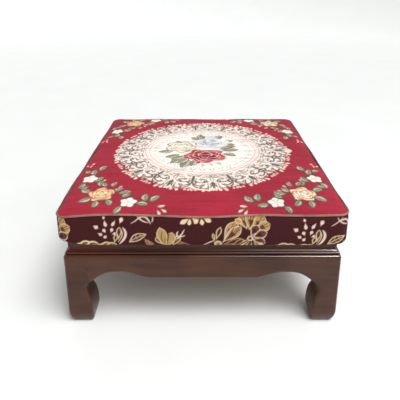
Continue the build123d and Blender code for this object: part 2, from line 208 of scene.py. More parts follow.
class Field:
    """A number or colour that varies over a surface: one output socket, whose operators add Math nodes."""

    def __init__(self, tree: bpy.types.NodeTree, socket: bpy.types.NodeSocket) -> None:
        """Wraps one output socket of the tree."""
        self.tree = tree
        self.socket = socket

    def maths(self, operation: str, first: "Field | float", second: "Field | float") -> "Field":
        """One Math node.

        Args:
            operation: what it does.
            first: its first value.
            second: its second value.

        Returns:
            The result.
        """
        node = self.tree.nodes.new("ShaderNodeMath")
        node.operation = operation
        for place, value in enumerate((first, second)):
            if isinstance(value, Field):
                self.tree.links.new(value.socket, node.inputs[place])
            else:
                node.inputs[place].default_value = value
        return Field(self.tree, node.outputs[0])

    def __add__(self, other: "Field | float") -> "Field":
        """Sum."""
        return self.maths("ADD", self, other)

    def __sub__(self, other: "Field | float") -> "Field":
        """Difference."""
        return self.maths("SUBTRACT", self, other)

    def __mul__(self, other: "Field | float") -> "Field":
        """Product."""
        return self.maths("MULTIPLY", self, other)

    def __radd__(self, other: float) -> "Field":
        """Sum, with the plain number first."""
        return self.maths("ADD", other, self)

    def __rsub__(self, other: float) -> "Field":
        """Difference, with the plain number first."""
        return self.maths("SUBTRACT", other, self)

    def __rmul__(self, other: float) -> "Field":
        """Product, with the plain number first."""
        return self.maths("MULTIPLY", other, self)


class Desk:
    """A material being made: its node tree, and short ways to add to it."""

    def __init__(self, name: str) -> None:
        """Starts a material with an empty shader.

        Args:
            name: the material's name.
        """
        self.material = bpy.data.materials.new(name)
        self.material.use_nodes = True
        self.tree = self.material.node_tree
        self.shader = self.tree.nodes["Principled BSDF"]

    def node(
        self, kind: str, settings: dict[str, object], inputs: dict[str | int, object], output: str | int = 0
    ) -> Field:
        """Any node.

        Args:
            kind: the node's type.
            settings: its properties, set first, and a ramp's stops.
            inputs: its sockets by name or number, each a number, colour, vector or Field.
            output: the socket that is read.

        Returns:
            The output as a Field.
        """
        made = self.tree.nodes.new(kind)
        for key, value in settings.items():
            if key == "stops":
                self.set_stops(made.color_ramp, value)
            else:
                setattr(made, key, value)
        for key, value in inputs.items():
            self.plug(made.inputs[key], value)
        return Field(self.tree, made.outputs[output])

    @staticmethod
    def set_stops(ramp: bpy.types.ColorRamp, stops: Sequence[Spot]) -> None:
        """Gives a ramp its greys.

        Args:
            ramp: the ramp, with two stops at first.
            stops: the place and the brightness of each stop.
        """
        while len(ramp.elements) < len(stops):
            ramp.elements.new(0.5)
        for element, (place, grey) in zip(ramp.elements, stops):
            element.position = place
            element.color = (grey, grey, grey, 1)

    def plug(self, socket: bpy.types.NodeSocket, value: object) -> None:
        """Links a Field to a socket, or sets a plain value on it; a colour gets its alpha of 1.

        Args:
            socket: the socket.
            value: a Field, a number, a colour or a vector.
        """
        if isinstance(value, Field):
            self.tree.links.new(value.socket, socket)
        elif isinstance(value, tuple) and socket.type == "RGBA":
            socket.default_value = (*value[:3], 1)
        else:
            socket.default_value = value

    def place(self, stretch: Place = (1, 1, 1), turn: Place = (0, 0, 0)) -> Field:
        """The point of the piece, in its own object's frame, stretched and turned."""
        where = self.node("ShaderNodeTexCoord", {}, {}, "Object")
        return self.node("ShaderNodeMapping", {}, {"Vector": where, "Scale": stretch, "Rotation": turn})

    def attribute(self, name: str, output: str) -> Field:
        """A value that the piece's own vertices carry."""
        return self.node("ShaderNodeAttribute", {"attribute_name": name}, {}, output)

    def noise(
        self, at: Field, scale: float, detail: float = 3.0, rough: float = 0.55, warp: float = 0.0
    ) -> Field:
        """Cloudy noise from 0 to 1."""
        sockets = {"Vector": at, "Scale": scale, "Detail": detail, "Roughness": rough, "Distortion": warp}
        return self.node("ShaderNodeTexNoise", {}, sockets)

    def wave(self, at: Field, scale: float, direction: str) -> Field:
        """Even stripes from 0 to 1 across one direction."""
        settings = {"wave_type": "BANDS", "bands_direction": direction, "wave_profile": "SIN"}
        return self.node("ShaderNodeTexWave", settings, {"Vector": at, "Scale": scale, "Distortion": 0.0})

    def shades(self, value: Field, *stops: Spot) -> Field:
        """A grey for each value, by stops of place and brightness."""
        return self.node("ShaderNodeValToRGB", {"stops": stops}, {0: value})

    def blend(self, share: Field | float, first: object, second: object, how: str = "MIX") -> Field:
        """Two colours mixed by a share."""
        settings = {"data_type": "RGBA", "blend_type": how}
        return self.node("ShaderNodeMix", settings, {0: share, 6: first, 7: second}, 2)

    def step(self, value: Field, low: float, high: float) -> Field:
        """A soft step of the value from 0 at low to 1 at high."""
        inputs = {"Value": value, "From Min": low, "From Max": high}
        return self.node("ShaderNodeMapRange", {"interpolation_type": "SMOOTHSTEP"}, inputs)

    def relief(self, height: Field, depth: float, strength: float) -> Field:
        """A bumped normal from a height of 0 to 1 and the depth in metres that it stands for."""
        return self.node("ShaderNodeBump", {}, {"Height": height, "Distance": depth, "Strength": strength})

    def finish(self, **sockets: object) -> bpy.types.Material:
        """Sets the shader's sockets.

        Args:
            sockets: their values, each under its name in words with _ for a space.

        Returns:
            The material.
        """
        for name, value in sockets.items():
            self.plug(self.shader.inputs[name.replace("_", " ").title().replace("Ior", "IOR")], value)
        return self.material


# ---------------------------------------------------------------- finishes


class Grain(Enum):
    """The way a timber's fibres run, as the turn that brings them onto X."""

    ALONG_X = (0.0, 0.0, 0.0)
    ALONG_Y = (0.0, 0.0, math.pi / 2)
    ALONG_Z = (0.0, math.pi / 2, 0.0)


@dataclass(frozen=True)
class Timber:
    """Wood, bare or under lacquer: long fibres, fine dark pores and slow clouds of stain.

    The stretches are waves a metre along the fibres and across them.
    """

    name: str
    dark: Colour
    light: Colour
    gloss: float
    lacquer: float
    pores: float
    worn: Colour | None = None
    wear_height: float = 0.012
    fibres: Place = (7, 60, 60)
    hairs: Place = (30, 420, 420)
    clouds: float = 9.0
    scuffs: float = 160.0
    scuff_stretch: Place = (1, 1, 2.4)
    pore_shade: float = 0.45
    cloud_dulls: float = 0.10
    wear_dulls: float = 0.2
    wear_shows: float = 0.55
    relief: float = 0.00012
    coat_gloss: float = 0.08
    shine: float = 1.32

    def make(self, grain: Grain) -> bpy.types.Material:
        """Stain and pores along the fibres, and scuffs, most of them low down, where it is worn.

        Args:
            grain: the way of the fibres.

        Returns:
            The material.
        """
        desk = Desk(f"{self.name}_{grain.name.lower()}")
        wavy = desk.noise(desk.place(self.fibres, grain.value), 1.0, detail=5.0, rough=0.6, warp=0.6)
        fine = desk.noise(desk.place(self.hairs, grain.value), 1.0, detail=2.0, rough=0.6)
        cloud = desk.noise(desk.place(), self.clouds, detail=2.0)
        tone = desk.step(wavy * 0.5 + cloud * 0.5, low=0.32, high=0.70)
        pore = (1 - desk.step(fine, low=0.30, high=0.44)) * self.pores
        colour = desk.blend(tone, self.dark, self.light)
        colour = desk.blend(pore, colour, scaled(self.dark, self.pore_shade))
        rough = self.gloss + cloud * self.cloud_dulls + pore * self.wear_dulls
        if self.worn is not None:
            height = desk.node("ShaderNodeSeparateXYZ", {}, {0: desk.place()}, 2)
            marks = desk.noise(desk.place(self.scuff_stretch), self.scuffs, detail=4.0, rough=0.7)
            near_floor = 1 - desk.step(height, low=0.0, high=self.wear_height)
            scuffed = desk.step(marks * 0.8 + near_floor * 0.45, low=0.66, high=0.86)
            colour = desk.blend(scuffed * self.wear_shows, colour, self.worn)
            rough = rough + scuffed * self.wear_dulls
        return desk.finish(
            base_color=colour, roughness=rough, coat_weight=self.lacquer, coat_roughness=self.coat_gloss,
            ior=self.shine, normal=desk.relief(wavy * 0.5 - pore, self.relief, strength=0.35),
        )


@dataclass(frozen=True)
class Metal:
    """Plated metal with fine brushing along X and dull spots."""

    name: str
    colour: Colour
    gloss: float
    brushing: Place = (300, 4000, 4000)
    spots: float = 350.0
    spot_shade: float = 0.55
    relief: float = 0.00003

    def make(self) -> bpy.types.Material:
        """Spots darken the plating, and they and the brushing dull it.

        Returns:
            The material.
        """
        desk = Desk(self.name)
        brush = desk.noise(desk.place(self.brushing), 1.0, detail=2.0)
        spots = desk.noise(desk.place(), self.spots)
        return desk.finish(
            base_color=desk.blend(spots * 0.6, self.colour, scaled(self.colour, self.spot_shade)),
            metallic=1.0, roughness=self.gloss + brush * 0.15 + spots * 0.12,
            normal=desk.relief(brush, self.relief, strength=0.4),
        )


@dataclass(frozen=True)
class PlainWeave:
    """An even over-and-under weave in one yarn colour, with slubs.

    Threads and slubs are waves a metre.
    """

    name: str
    colour: Colour
    threads: float
    depth: float = 0.00015
    painted: bool = False
    slubs: float = 240.0
    gloss: float = 0.78
    sheen: float = 0.15
    sheen_gloss: float = 0.5

    def make(self) -> bpy.types.Material:
        """Threads across all three directions, tinted by the threads attribute where the piece is painted.

        Returns:
            The material.
        """
        desk = Desk(self.name)
        at = desk.place()
        over, under, side = (desk.wave(at, self.threads, way) for way in "XYZ")
        weave = over * 0.4 + under * 0.3 + side * 0.3
        slub = desk.noise(at, self.slubs)
        yarn = desk.attribute("threads", "Color") if self.painted else self.colour
        shade = desk.shades(weave * 0.5 + slub * 0.5, (0.2, 0.6), (0.75, 1.12))
        return desk.finish(
            base_color=desk.blend(1.0, yarn, shade, "MULTIPLY"), roughness=self.gloss + slub * 0.15,
            normal=desk.relief(weave, self.depth, strength=0.6), sheen_weight=self.sheen,
            sheen_roughness=self.sheen_gloss,
        )


@dataclass(frozen=True)
class Chenille:
    """Cut velvety pile in rows across the cloth, with streaks where the nap leans another way.

    A row is in metres; the stretches are waves a metre across, along and up.
    """

    name: str = "chenille_top"
    row: float = 0.0021
    row_fit: float = 0.999
    tuft_stretch: Place = (420, 700, 300)
    nap_stretch: Place = (14, 110, 30)
    patches: float = 7.0
    patch_share: float = 0.34
    gloss: float = 0.86
    depth: float = 0.0005
    sheen: float = 0.05
    sheen_gloss: float = 0.45
    shine: float = 0.14

    def make(self) -> bpy.types.Material:
        """The threads attribute gives each yarn's colour, and the nap and the tufts shade it.

        Returns:
            The material.
        """
        desk = Desk(self.name)
        rows = desk.wave(desk.place(), self.row_fit / (self.row * TURN), "Y")
        tufts = desk.noise(desk.place(self.tuft_stretch), 1.0, rough=0.6)
        nap = desk.noise(desk.place(self.nap_stretch), 1.0, detail=4.0, rough=0.65)
        patch = desk.noise(desk.place(), self.patches, detail=2.0)
        light = desk.step(nap * (1 - self.patch_share) + patch * self.patch_share, low=0.32, high=0.68)
        shade = desk.shades(light * 0.55 + tufts * 0.45, (0.15, 0.68), (0.5, 0.96), (0.9, 1.18))
        return desk.finish(
            base_color=desk.blend(1.0, desk.attribute("threads", "Color"), shade, "MULTIPLY"),
            roughness=self.gloss + tufts * 0.1,
            normal=desk.relief(tufts * 0.7 + rows * 0.3, self.depth, strength=0.55),
            sheen_weight=self.sheen, sheen_roughness=self.sheen_gloss, specular_ior_level=self.shine,
        )


@dataclass(frozen=True)
class Damask:
    """A smooth figured weave: a dull warp ground, with the figures in a slightly glossy weft.

    Threads and flecks are waves a metre.
    """

    name: str = "damask_band"
    threads: float = 420.0
    slant: Place = (0.5, 0.5, 0)
    flecks: Place = (500, 500, 900)
    gloss: float = 0.74
    weft_gloss: float = 0.22
    depth: float = 0.0003
    shine: float = 0.16

    def make(self) -> bpy.types.Material:
        """The threads attribute gives the colour, and figure how much weft shows.

        Returns:
            The material.
        """
        desk = Desk(self.name)
        figure = desk.attribute("figure", "Fac")
        upright = desk.wave(desk.place(), self.threads, "Z")
        slant = desk.wave(desk.place((1, 1, 1), self.slant), self.threads, "X")
        fleck = desk.noise(desk.place(self.flecks), 1.0, detail=2.0)
        weave = upright * 0.5 + slant * 0.5
        shade = desk.shades(weave * 0.45 + fleck * 0.55, (0.2, 0.72), (0.8, 1.2))
        return desk.finish(
            base_color=desk.blend(1.0, desk.attribute("threads", "Color"), shade, "MULTIPLY"),
            roughness=self.gloss - figure * self.weft_gloss + fleck * 0.1,
            normal=desk.relief(weave * 0.6 + figure * 0.4, self.depth, strength=0.6),
            specular_ior_level=self.shine,
        )


@dataclass(frozen=True)
class Moulded:
    """Dull moulded or drawn plastic with a slight grain."""

    name: str
    colour: Colour
    specks: float = 900.0
    gloss: float = 0.38
    depth: float = 0.00005

    def make(self) -> bpy.types.Material:
        """Specks a little darker and lighter than the colour.

        Returns:
            The material.
        """
        desk = Desk(self.name)
        speck = desk.noise(desk.place(), self.specks)
        return desk.finish(
            base_color=desk.blend(speck, scaled(self.colour, 0.8), scaled(self.colour, 1.15)),
            roughness=self.gloss + speck * 0.2, normal=desk.relief(speck, self.depth, strength=0.5),
        )


# ---------------------------------------------------------------- woven patterns


class Yarn(Enum):
    """The yarns of both cloths."""

    RED = dye(150, 37, 54)
    CORAL = dye(178, 52, 66)
    DEEP_RED = dye(118, 28, 40)
    PINK = dye(208, 140, 138)
    WHITE = dye(232, 226, 218)
    CREAM = dye(229, 215, 206)
    BUTTER = dye(222, 204, 158)
    PEACH = dye(224, 178, 138)
    RUST = dye(150, 90, 70)
    LILAC = dye(214, 213, 214)
    IRIS = dye(164, 167, 184)
    SAGE = dye(146, 139, 116)
    MOSS = dye(84, 66, 55)
    MIST = dye(188, 188, 168)
    STONE = dye(100, 84, 73)
    MAROON = dye(62, 17, 19)
    GOLD = dye(178, 140, 92)
    PALE_GOLD = dye(220, 194, 148)
    OLIVE = dye(98, 64, 42)
    BLUSH = dye(226, 196, 180)
    BEIGE = dye(146, 104, 86)
    WINE = dye(86, 36, 38)
    IVORY = dye(224, 216, 188)


@dataclass
class Pattern:
    """The yarn colour and the pile's height at every point of a flat cut of cloth, in millimetres.

    A petal's points are looked for a margin past its length, and its core is set out in shares of
    its width and length. A yarn's edge is soft over a width of its own.
    """

    across: np.ndarray
    along: np.ndarray
    ground: Yarn
    soft: float = 1.5
    margin: float = 1.1
    bulge: float = 0.62
    core_inset: float = 0.16
    core_reach: float = 0.62
    crease_spread: float = 0.14
    path_points: int = 15
    colour: np.ndarray = field(init=False)
    pile: np.ndarray = field(init=False)

    def __post_init__(self) -> None:
        """Starts with the ground alone."""
        self.colour = np.tile(np.array(self.ground.value), (self.across.size, 1))
        self.pile = np.zeros(self.across.size)

    def near(self, x: float, y: float, reach: float) -> np.ndarray:
        """The numbers of the points within a square of that reach."""
        return np.flatnonzero((np.abs(self.across - x) < reach) & (np.abs(self.along - y) < reach))

    def lay(self, spots: np.ndarray, inside: np.ndarray, yarn: Yarn, lift: float = 1.0) -> None:
        """Weaves a yarn over the ground.

        Args:
            spots: the points that may be covered.
            inside: their distance inside the figure's edge, in millimetres, negative outside.
            yarn: the yarn.
            lift: the pile's height there, against 1 for a figure.
        """
        share = smooth(inside, -self.soft / 2, self.soft / 2)
        self.colour[spots] += (np.array(yarn.value) - self.colour[spots]) * share[:, None]
        self.pile[spots] += (lift - self.pile[spots]) * share

    def local(
        self, x: float, y: float, turn: float, reach: float
    ) -> tuple[np.ndarray, np.ndarray, np.ndarray]:
        """The points near a place, seen along a direction.

        Args:
            x: the place, across the cut.
            y: the place, along the cut.
            turn: the direction, in degrees.
            reach: how far the points go.

        Returns:
            Their numbers, and how far each is along the direction and across it.
        """
        spots = self.near(x, y, reach)
        a = math.radians(turn)
        dx, dy = self.across[spots] - x, self.along[spots] - y
        return spots, dx * math.cos(a) + dy * math.sin(a), dy * math.cos(a) - dx * math.sin(a)

    def dot(
        self, x: float, y: float, radius: float, yarn: Yarn,
        lobes: int = 0, depth: float = 0.0, turn: float = 0.0,
    ) -> None:
        """A round figure whose radius swells and shrinks: radius times 1 + depth cos(lobes times the angle).

        Args:
            x: its middle, across the cut.
            y: its middle, along the cut.
            radius: its mean radius.
            yarn: its yarn.
            lobes: how many lobes it has.
            depth: how far they swell, as a share of the radius.
            turn: the direction of the first lobe, in degrees.
        """
        spots, u, v = self.local(x, y, turn, radius * (1.3 + depth))
        edge = radius * (1 + depth * np.cos(lobes * np.arctan2(v, u)))
        self.lay(spots, edge - np.hypot(u, v), yarn)

    def petal(
        self, x: float, y: float, turn: float, length: float, width: float, fill: Yarn,
        rim: Yarn | None = None, rim_width: float = 1.4, core: Yarn | None = None,
    ) -> None:
        """A drop: half its width goes as sin(pi t^(1/bulge))^0.8, where t is the share of its length.

        Args:
            x: its pointed end, across the cut.
            y: its pointed end, along the cut.
            turn: the way it points, in degrees.
            length: its length.
            width: its width.
            fill: the yarn inside.
            rim: the yarn of its outline, if it has one.
            rim_width: the outline's width.
            core: the yarn of a heart between two dark creases, if it has one.
        """
        spots, u, v = self.local(x, y, turn, length * self.margin)
        t = np.clip(u / length, 0, 1)
        half = width / 2 * np.sin(math.pi * t ** (1 / self.bulge)) ** 0.8
        inside = np.minimum(half - np.abs(v), np.minimum(u, length - u) + 0.6)
        if rim is not None:
            self.lay(spots, inside, rim)
            inside = inside - rim_width
        self.lay(spots, inside, fill)
        if core is not None:
            heart = np.minimum(inside - self.core_inset * width, self.core_reach * length - u)
            self.lay(spots, heart, core, 0.8)
            crease = 0.5 - np.abs(np.abs(v) - self.crease_spread * width * t)
            self.lay(spots, np.minimum(crease, inside - 0.8), Yarn.MAROON, 0.5)

    def leaf(
        self, x: float, y: float, turn: float, length: float, width: float, fill: Yarn, rim: Yarn,
        bend: float, rim_width: float, core: Yarn | None = None,
    ) -> None:
        """A leaf: half its width goes as sin(pi t)^0.85 about an arc; the rim's yarn veins it too.

        Args:
            x: its stalk's end, across the cut.
            y: its stalk's end, along the cut.
            turn: the way it points, in degrees.
            length: its length.
            width: its width.
            fill: the yarn inside.
            rim: the yarn of its outline, midrib and side veins.
            bend: how far the arc stands off the straight, as a share of the length.
            rim_width: the outline's width.
            core: the yarn of one half of the leaf, if the halves differ.
        """
        spots, u, v = self.local(x, y, turn, length * self.margin)
        t = np.clip(u / length, 0, 1)
        v = v - bend * length * np.sin(math.pi * t)
        half = width / 2 * np.sin(math.pi * t) ** 0.85
        inside = np.minimum(half - np.abs(v), np.minimum(u, length - u) + 0.4)
        self.lay(spots, inside, rim)
        self.lay(spots, inside - rim_width, fill)
        if core is not None:
            self.lay(spots, np.where(v > 0, inside - rim_width - 0.1 * width, OUTSIDE), core)
        rib = 0.55 - np.abs(v)
        veins = 0.45 - np.abs(np.mod(u - np.abs(v) * 1.1, length / 4) - length / 8)
        self.lay(spots, np.minimum(np.maximum(rib, veins), inside), rim, 0.7)

    def stroke(self, points: Sequence[Spot], width: float, yarn: Yarn, taper: float = 0.75) -> None:
        """A curved line, the quadratic curve of three points, measured to a chain of short straights.

        Args:
            points: its start, the point that pulls it aside, and its end.
            width: its width in the middle.
            yarn: its yarn.
            taper: how much thinner its ends are, as a share.
        """
        start, pull, end = (np.array(p, float) for p in points)
        middle = (start + end) / 2
        reach = float(np.abs(np.stack([start, pull, end]) - middle).max()) + width
        spots = self.near(*middle, reach)
        t = np.linspace(0, 1, self.path_points)[:, None]
        path = (1 - t) ** 2 * start + 2 * t * (1 - t) * pull + t**2 * end
        at = np.stack([self.across[spots], self.along[spots]], axis=1)
        first, step = path[:-1], np.diff(path, axis=0)
        gap = at[:, None] - first
        share = np.clip((gap * step).sum(2) / (step**2).sum(1), 0, 1)
        far = np.linalg.norm(gap - share[..., None] * step, axis=2)
        nearest = far.argmin(axis=1)
        rows = np.arange(len(spots))
        run = (nearest + share[rows, nearest]) / (len(path) - 1)
        half = width / 2 * (1 - taper * np.abs(2 * run - 1) ** 3)
        self.lay(spots, half - far[rows, nearest], yarn)

    def rose(
        self, x: float, y: float, radius: float, fill: Yarn, shade: Yarn, line: Yarn,
        seed: int, squeeze: float = 1.0,
    ) -> None:
        """A full-blown rose: a lobed outline, and three rings of petals in two tones, each with a light line.

        Args:
            x: its middle, across the cut.
            y: its middle, along the cut.
            radius: its radius.
            fill: the yarn of its petals.
            shade: the yarn of their folds.
            line: the yarn of their edges.
            seed: the seed of its uneven lobes.
            squeeze: its height as a share of its width.
        """
        spots, u, v = self.local(x, y, 0, radius * 1.4)
        v = v / squeeze
        far, angle = np.hypot(u, v) / radius, np.arctan2(v, u)
        phase = np.random.default_rng(seed).uniform(0, TURN, 4)
        edge = 1 + 0.11 * np.cos(5 * angle + phase[0]) + 0.04 * np.cos(9 * angle + phase[1])
        for inset, yarn in ((0.0, Yarn.MOSS), (0.9, line), (2.4, fill)):
            self.lay(spots, (edge - far) * radius - inset, yarn)
        for ring, lobes in ((0.76, 5), (0.52, 4), (0.30, 3)):
            swing = np.cos(lobes * angle + phase[2] + ring * 9)
            wall = ring + 0.10 * swing
            self.lay(spots, (wall - far) * radius, line, 1.2)
            self.lay(spots, (wall - far) * radius - 2.2, shade if lobes == 4 else fill, 1.2)
            fold = np.minimum((wall - far) * radius - 1.2, (far - wall + 0.17) * radius)
            self.lay(spots, np.where(swing < 0.1, fold, OUTSIDE), shade, 0.9)

    def star_flower(
        self, x: float, y: float, radius: float, fill: Yarn, line: Yarn, heart: Yarn, turn: float
    ) -> None:
        """A flower with an outline, a crease between each two petals and a small heart.

        Args:
            x: its middle, across the cut.
            y: its middle, along the cut.
            radius: its radius.
            fill: the yarn of its petals.
            line: the yarn of its outline and creases.
            heart: the yarn of its heart.
            turn: the direction of its first petal, in degrees.
        """
        petals = 5
        self.dot(x, y, radius * 1.1, line, petals, 0.12, turn)
        self.dot(x, y, radius * 0.97, fill, petals, 0.13, turn)
        for number in range(petals):
            a = math.radians(turn + 36 + 72 * number)
            tip = (x + math.cos(a) * radius * 0.8, y + math.sin(a) * radius * 0.8)
            self.stroke([(x, y), ((x + tip[0]) / 2, (y + tip[1]) / 2), tip], 0.8, line, 0.4)
        self.dot(x, y, radius * 0.24, heart)


@dataclass
class TopPattern:
    """The figures of the cushion's top: an oval lace medallion with a bouquet, and a spray in each corner.

    The ring between the lace and the plain field, the lace's middle and the sprigs stand at shares of
    the oval; lace_reach is the lace's own width in its figures' units.
    """

    half_width: float = 187.0
    half_depth: float = 180.0
    centre_y: float = 5.0
    corner: float = 250.0
    power: float = 1.85
    scallops: int = 46
    ring: float = 0.68
    lace_cells: int = 26
    lace_middle: float = 0.84
    lace_reach: float = 62.0
    sprig_cells: int = 34
    sprig_middle: float = 0.56

    @property
    def size(self) -> float:
        """The oval's mean radius."""
        return (self.half_width + self.half_depth) / 2

    def weave(self, cloth: Pattern) -> None:
        """Weaves every figure.

        Args:
            cloth: the cloth that is woven.
        """
        self.medallion(cloth)
        self.bouquet(cloth)
        for side in (-1, 1):
            for end in (-1, 1):
                self.spray(cloth, side, end)

    def medallion(self, cloth: Pattern) -> None:
        """The oval: its edge is where (x/a)^1.85 + (y/b)^1.85 is 1, with tips on its axes and small scallops.

        Args:
            cloth: the cloth that is woven.
        """
        x, y = cloth.across / self.half_width, (cloth.along - self.centre_y) / self.half_depth
        angle = np.arctan2(y, x)
        far = (np.abs(x) ** self.power + np.abs(y) ** self.power) ** (1 / self.power)
        sides = bump_at(np.abs(np.sin(angle)), 0, 0.10)
        tips = 0.05 * (sides + 0.5 * bump_at(np.abs(np.cos(angle)), 0, 0.08))
        frill = 0.022 * np.abs(np.cos(self.scallops / 2 * angle))
        frill = frill + 0.016 * np.cos(self.lace_cells / 2 * angle)
        edge = 1 + tips + frill - 0.01
        spots = np.flatnonzero(far < edge + 0.05)
        far, angle, edge = far[spots], angle[spots], edge[spots]
        inside = (edge - far) * self.size
        cloth.lay(spots, inside + 0.4, Yarn.BLUSH)
        cloth.lay(spots, inside - 2.2, Yarn.CREAM)
        self.lace(cloth)
        field_edge = (self.ring - far) * self.size
        cloth.lay(spots, field_edge, Yarn.WHITE)
        for gap, width, yarn in ((0.0, 0.9, Yarn.PINK), (8.5, 0.8, Yarn.PINK), (4.0, 0.7, Yarn.BLUSH)):
            cloth.lay(spots, width - np.abs(field_edge - gap), yarn)
        self.sprigs(cloth, spots, far, angle)

    def lace_spot(self, angle: float, u: float, v: float) -> Spot:
        """A place in the lace.

        Args:
            angle: the middle of its cell, as an angle round the oval.
            u: how many millimetres it lies round from there.
            v: how far out it lies, from 0 on the ring to 62 at the edge.

        Returns:
            The place on the cut.
        """
        a = angle + u / (self.size * self.lace_middle)
        share = self.ring + (1 - self.ring) * v / self.lace_reach
        return self.half_width * math.cos(a) * share, self.centre_y + self.half_depth * math.sin(a) * share

    def lace(self, cloth: Pattern) -> None:
        """Scrollwork between the ring and the scalloped edge: one figure a cell, every second one mirrored.

        Strokes have a start, a pull, an end and a width; petals a place, a turn, a length, a width, a
        fill and a rim; dots a place and a radius.

        Args:
            cloth: the cloth that is woven.
        """
        stone, moss, sage, mist = Yarn.STONE, Yarn.MOSS, Yarn.SAGE, Yarn.MIST
        white, cream, blush, pink = Yarn.WHITE, Yarn.CREAM, Yarn.BLUSH, Yarn.PINK
        scrolls = (
            ((-18, 8), (-24, 30), (-5, 36), 4.4, stone), ((-5, 36), (10, 39), (8, 27), 3.8, stone),
            ((8, 27), (3, 19), (-3, 26), 2.6, moss), ((-18, 8), (-7, 14), (-4, 5), 2.0, sage),
            ((-19, 26), (-20, 44), (-6, 50), 4.0, stone), ((-6, 50), (3, 52), (3, 44), 3.0, moss),
            ((-17, 44), (-12, 60), (2, 61), 3.2, stone), ((2, 61), (12, 59), (9, 51), 2.8, moss),
            ((20, 34), (14, 46), (20, 60), 3.6, stone), ((20, 10), (13, 17), (17, 28), 2.2, sage),
            ((4, 6), (10, 12), (19, 4), 1.6, stone), ((-16, 2), (-9, 9), (-1, 3), 1.8, stone),
            ((0, 11), (8, 19), (15, 13), 2.0, stone), ((11, 44), (17, 50), (12, 58), 2.4, moss),
        )
        drops = (
            (-11, 17, 60, 13, 6, white, stone), (0, 42, 75, 12, 7, pink, stone),
            (9, 39, 120, 11, 7, white, moss), (13, 31, 30, 10, 6, mist, moss),
            (-10, 53, 130, 10, 6, blush, moss), (9, 55, 80, 10, 6, pink, stone),
            (-18, 57, 90, 9, 6, white, stone), (2, 16, 40, 10, 5, mist, sage),
        )
        dots = (
            (4, 31, 2.4, moss), (-5, 23, 1.8, sage), (-12, 38, 2.6, moss), (16, 40, 2.2, moss),
            (-2, 56, 2.2, moss), (-9, 10, 1.6, stone), (9, 6, 1.5, pink), (17, 8, 1.4, stone),
        )
        edge = (
            (12, 60, 78, 11, 6.5, cream, blush), (-12, 60, 102, 9, 5.5, cream, pink),
            (1, 61, 92, 11, 6, cream, blush), (-20, 60, 70, 9, 5, pink, blush),
            (20, 61, 108, 8, 5.5, cream, blush), (6, 60, 60, 8, 5, cream, pink),
        )
        for cell in range(self.lace_cells):
            angle = TURN * (cell + 0.5) / self.lace_cells
            hand = 1 if cell % 2 else -1
            for start, pull, end, width, yarn in scrolls:
                path = [self.lace_spot(angle, hand * u, v) for u, v in (start, pull, end)]
                cloth.stroke(path, width, yarn, 0.35)
            for u, v, turn, length, width, fill, rim in edge + drops:
                way = math.degrees(angle) - 90 + (turn if hand > 0 else 180 - turn)
                cloth.petal(*self.lace_spot(angle, hand * u, v), way, length, width, fill, rim, 1.5)
            for u, v, radius, yarn in dots:
                cloth.dot(*self.lace_spot(angle, hand * u, v), radius, yarn)

    def sprigs(self, cloth: Pattern, spots: np.ndarray, far: np.ndarray, angle: np.ndarray) -> None:
        """Small dotted sprigs just inside the ring, and rows of specks in the lace at front and back.

        Args:
            cloth: the cloth that is woven.
            spots: the numbers of the points in the oval.
            far: how far out each lies, 1 on the oval.
            angle: how far round each lies.
        """
        reach = TURN * self.size * self.sprig_middle / self.sprig_cells
        u = np.abs(np.mod(angle / TURN * self.sprig_cells, 1) - 0.5) * reach
        v = (far - 0.565) * self.size
        specks = (
            (1.0, np.hypot(u - 3.6, v * 0.42), Yarn.STONE), (1.2, np.hypot(u, (v - 5.5) * 0.8), Yarn.SAGE),
            (0.9, np.hypot(u - 6.5, v + 5.5), Yarn.STONE), (1.2, np.hypot(u, (v + 9.0) * 0.5), Yarn.MIST),
        )
        for radius, gap, yarn in specks:
            cloth.lay(spots, radius - gap, yarn)
        bands = np.abs(np.mod((far - 0.52) * self.size, 12) - 6)
        for side in (-1, 1):
            there = (angle * side > 0) & (np.abs(np.abs(angle) - TURN / 4) < 0.55)
            there = there & (far > 0.60) & (far < 0.86)
            cloth.lay(spots, np.where(there, 0.8 - np.hypot(u - 2.2, bands), OUTSIDE), Yarn.MOSS)

    def bouquet(self, cloth: Pattern) -> None:
        """Three roses, red, ivory and lilac, in a wreath of leaves.

        Leaves have a place, a turn and a length; petals a place and a turn.

        Args:
            cloth: the cloth that is woven.
        """
        wreath = (
            (-46, 44, 128, 22), (-62, 40, 165, 20), (-70, 8, 195, 26), (-56, -18, 205, 24),
            (-50, -34, 232, 26), (-34, -44, 250, 30), (-22, -50, 262, 20), (0, 84, 100, 22),
            (-8, 80, 140, 18), (36, 76, 60, 22),
            (54, 58, 28, 20), (58, 32, -8, 18), (50, 6, 6, 26), (50, -12, -24, 22), (-8, 78, 60, 20),
            (62, 46, 350, 14),
        )
        between = (
            (-26, 6, 170, 34), (40, 14, 20, 30), (-4, 34, 100, 30), (-40, -20, 215, 34), (-30, -30, 230, 36),
        )
        leaf = {"fill": Yarn.SAGE, "bend": 0.1, "rim_width": 1.2, "core": Yarn.MIST}
        for x, y, turn, length in wreath:
            cloth.leaf(x * 0.9, y * 0.92 - 6, turn, length * 1.4, length * 0.8, rim=Yarn.MOSS, **leaf)
        for x, y, turn, length in between:
            cloth.leaf(x, y - 8, turn, length, length * 0.5, rim=Yarn.STONE, **leaf)
        for x, y, turn in ((-12, -56, 250), (0, -58, 275), (14, -56, 300), (26, -52, 320), (34, -50, 285)):
            cloth.petal(x, y - 9, turn, 15, 7, Yarn.MIST, Yarn.SAGE, 1.0)
        cloth.rose(-50, 22, 32, Yarn.IVORY, Yarn.CREAM, Yarn.SAGE, seed=3)
        cloth.rose(20, 47, 40, Yarn.LILAC, Yarn.IRIS, Yarn.WHITE, seed=5, squeeze=0.84)
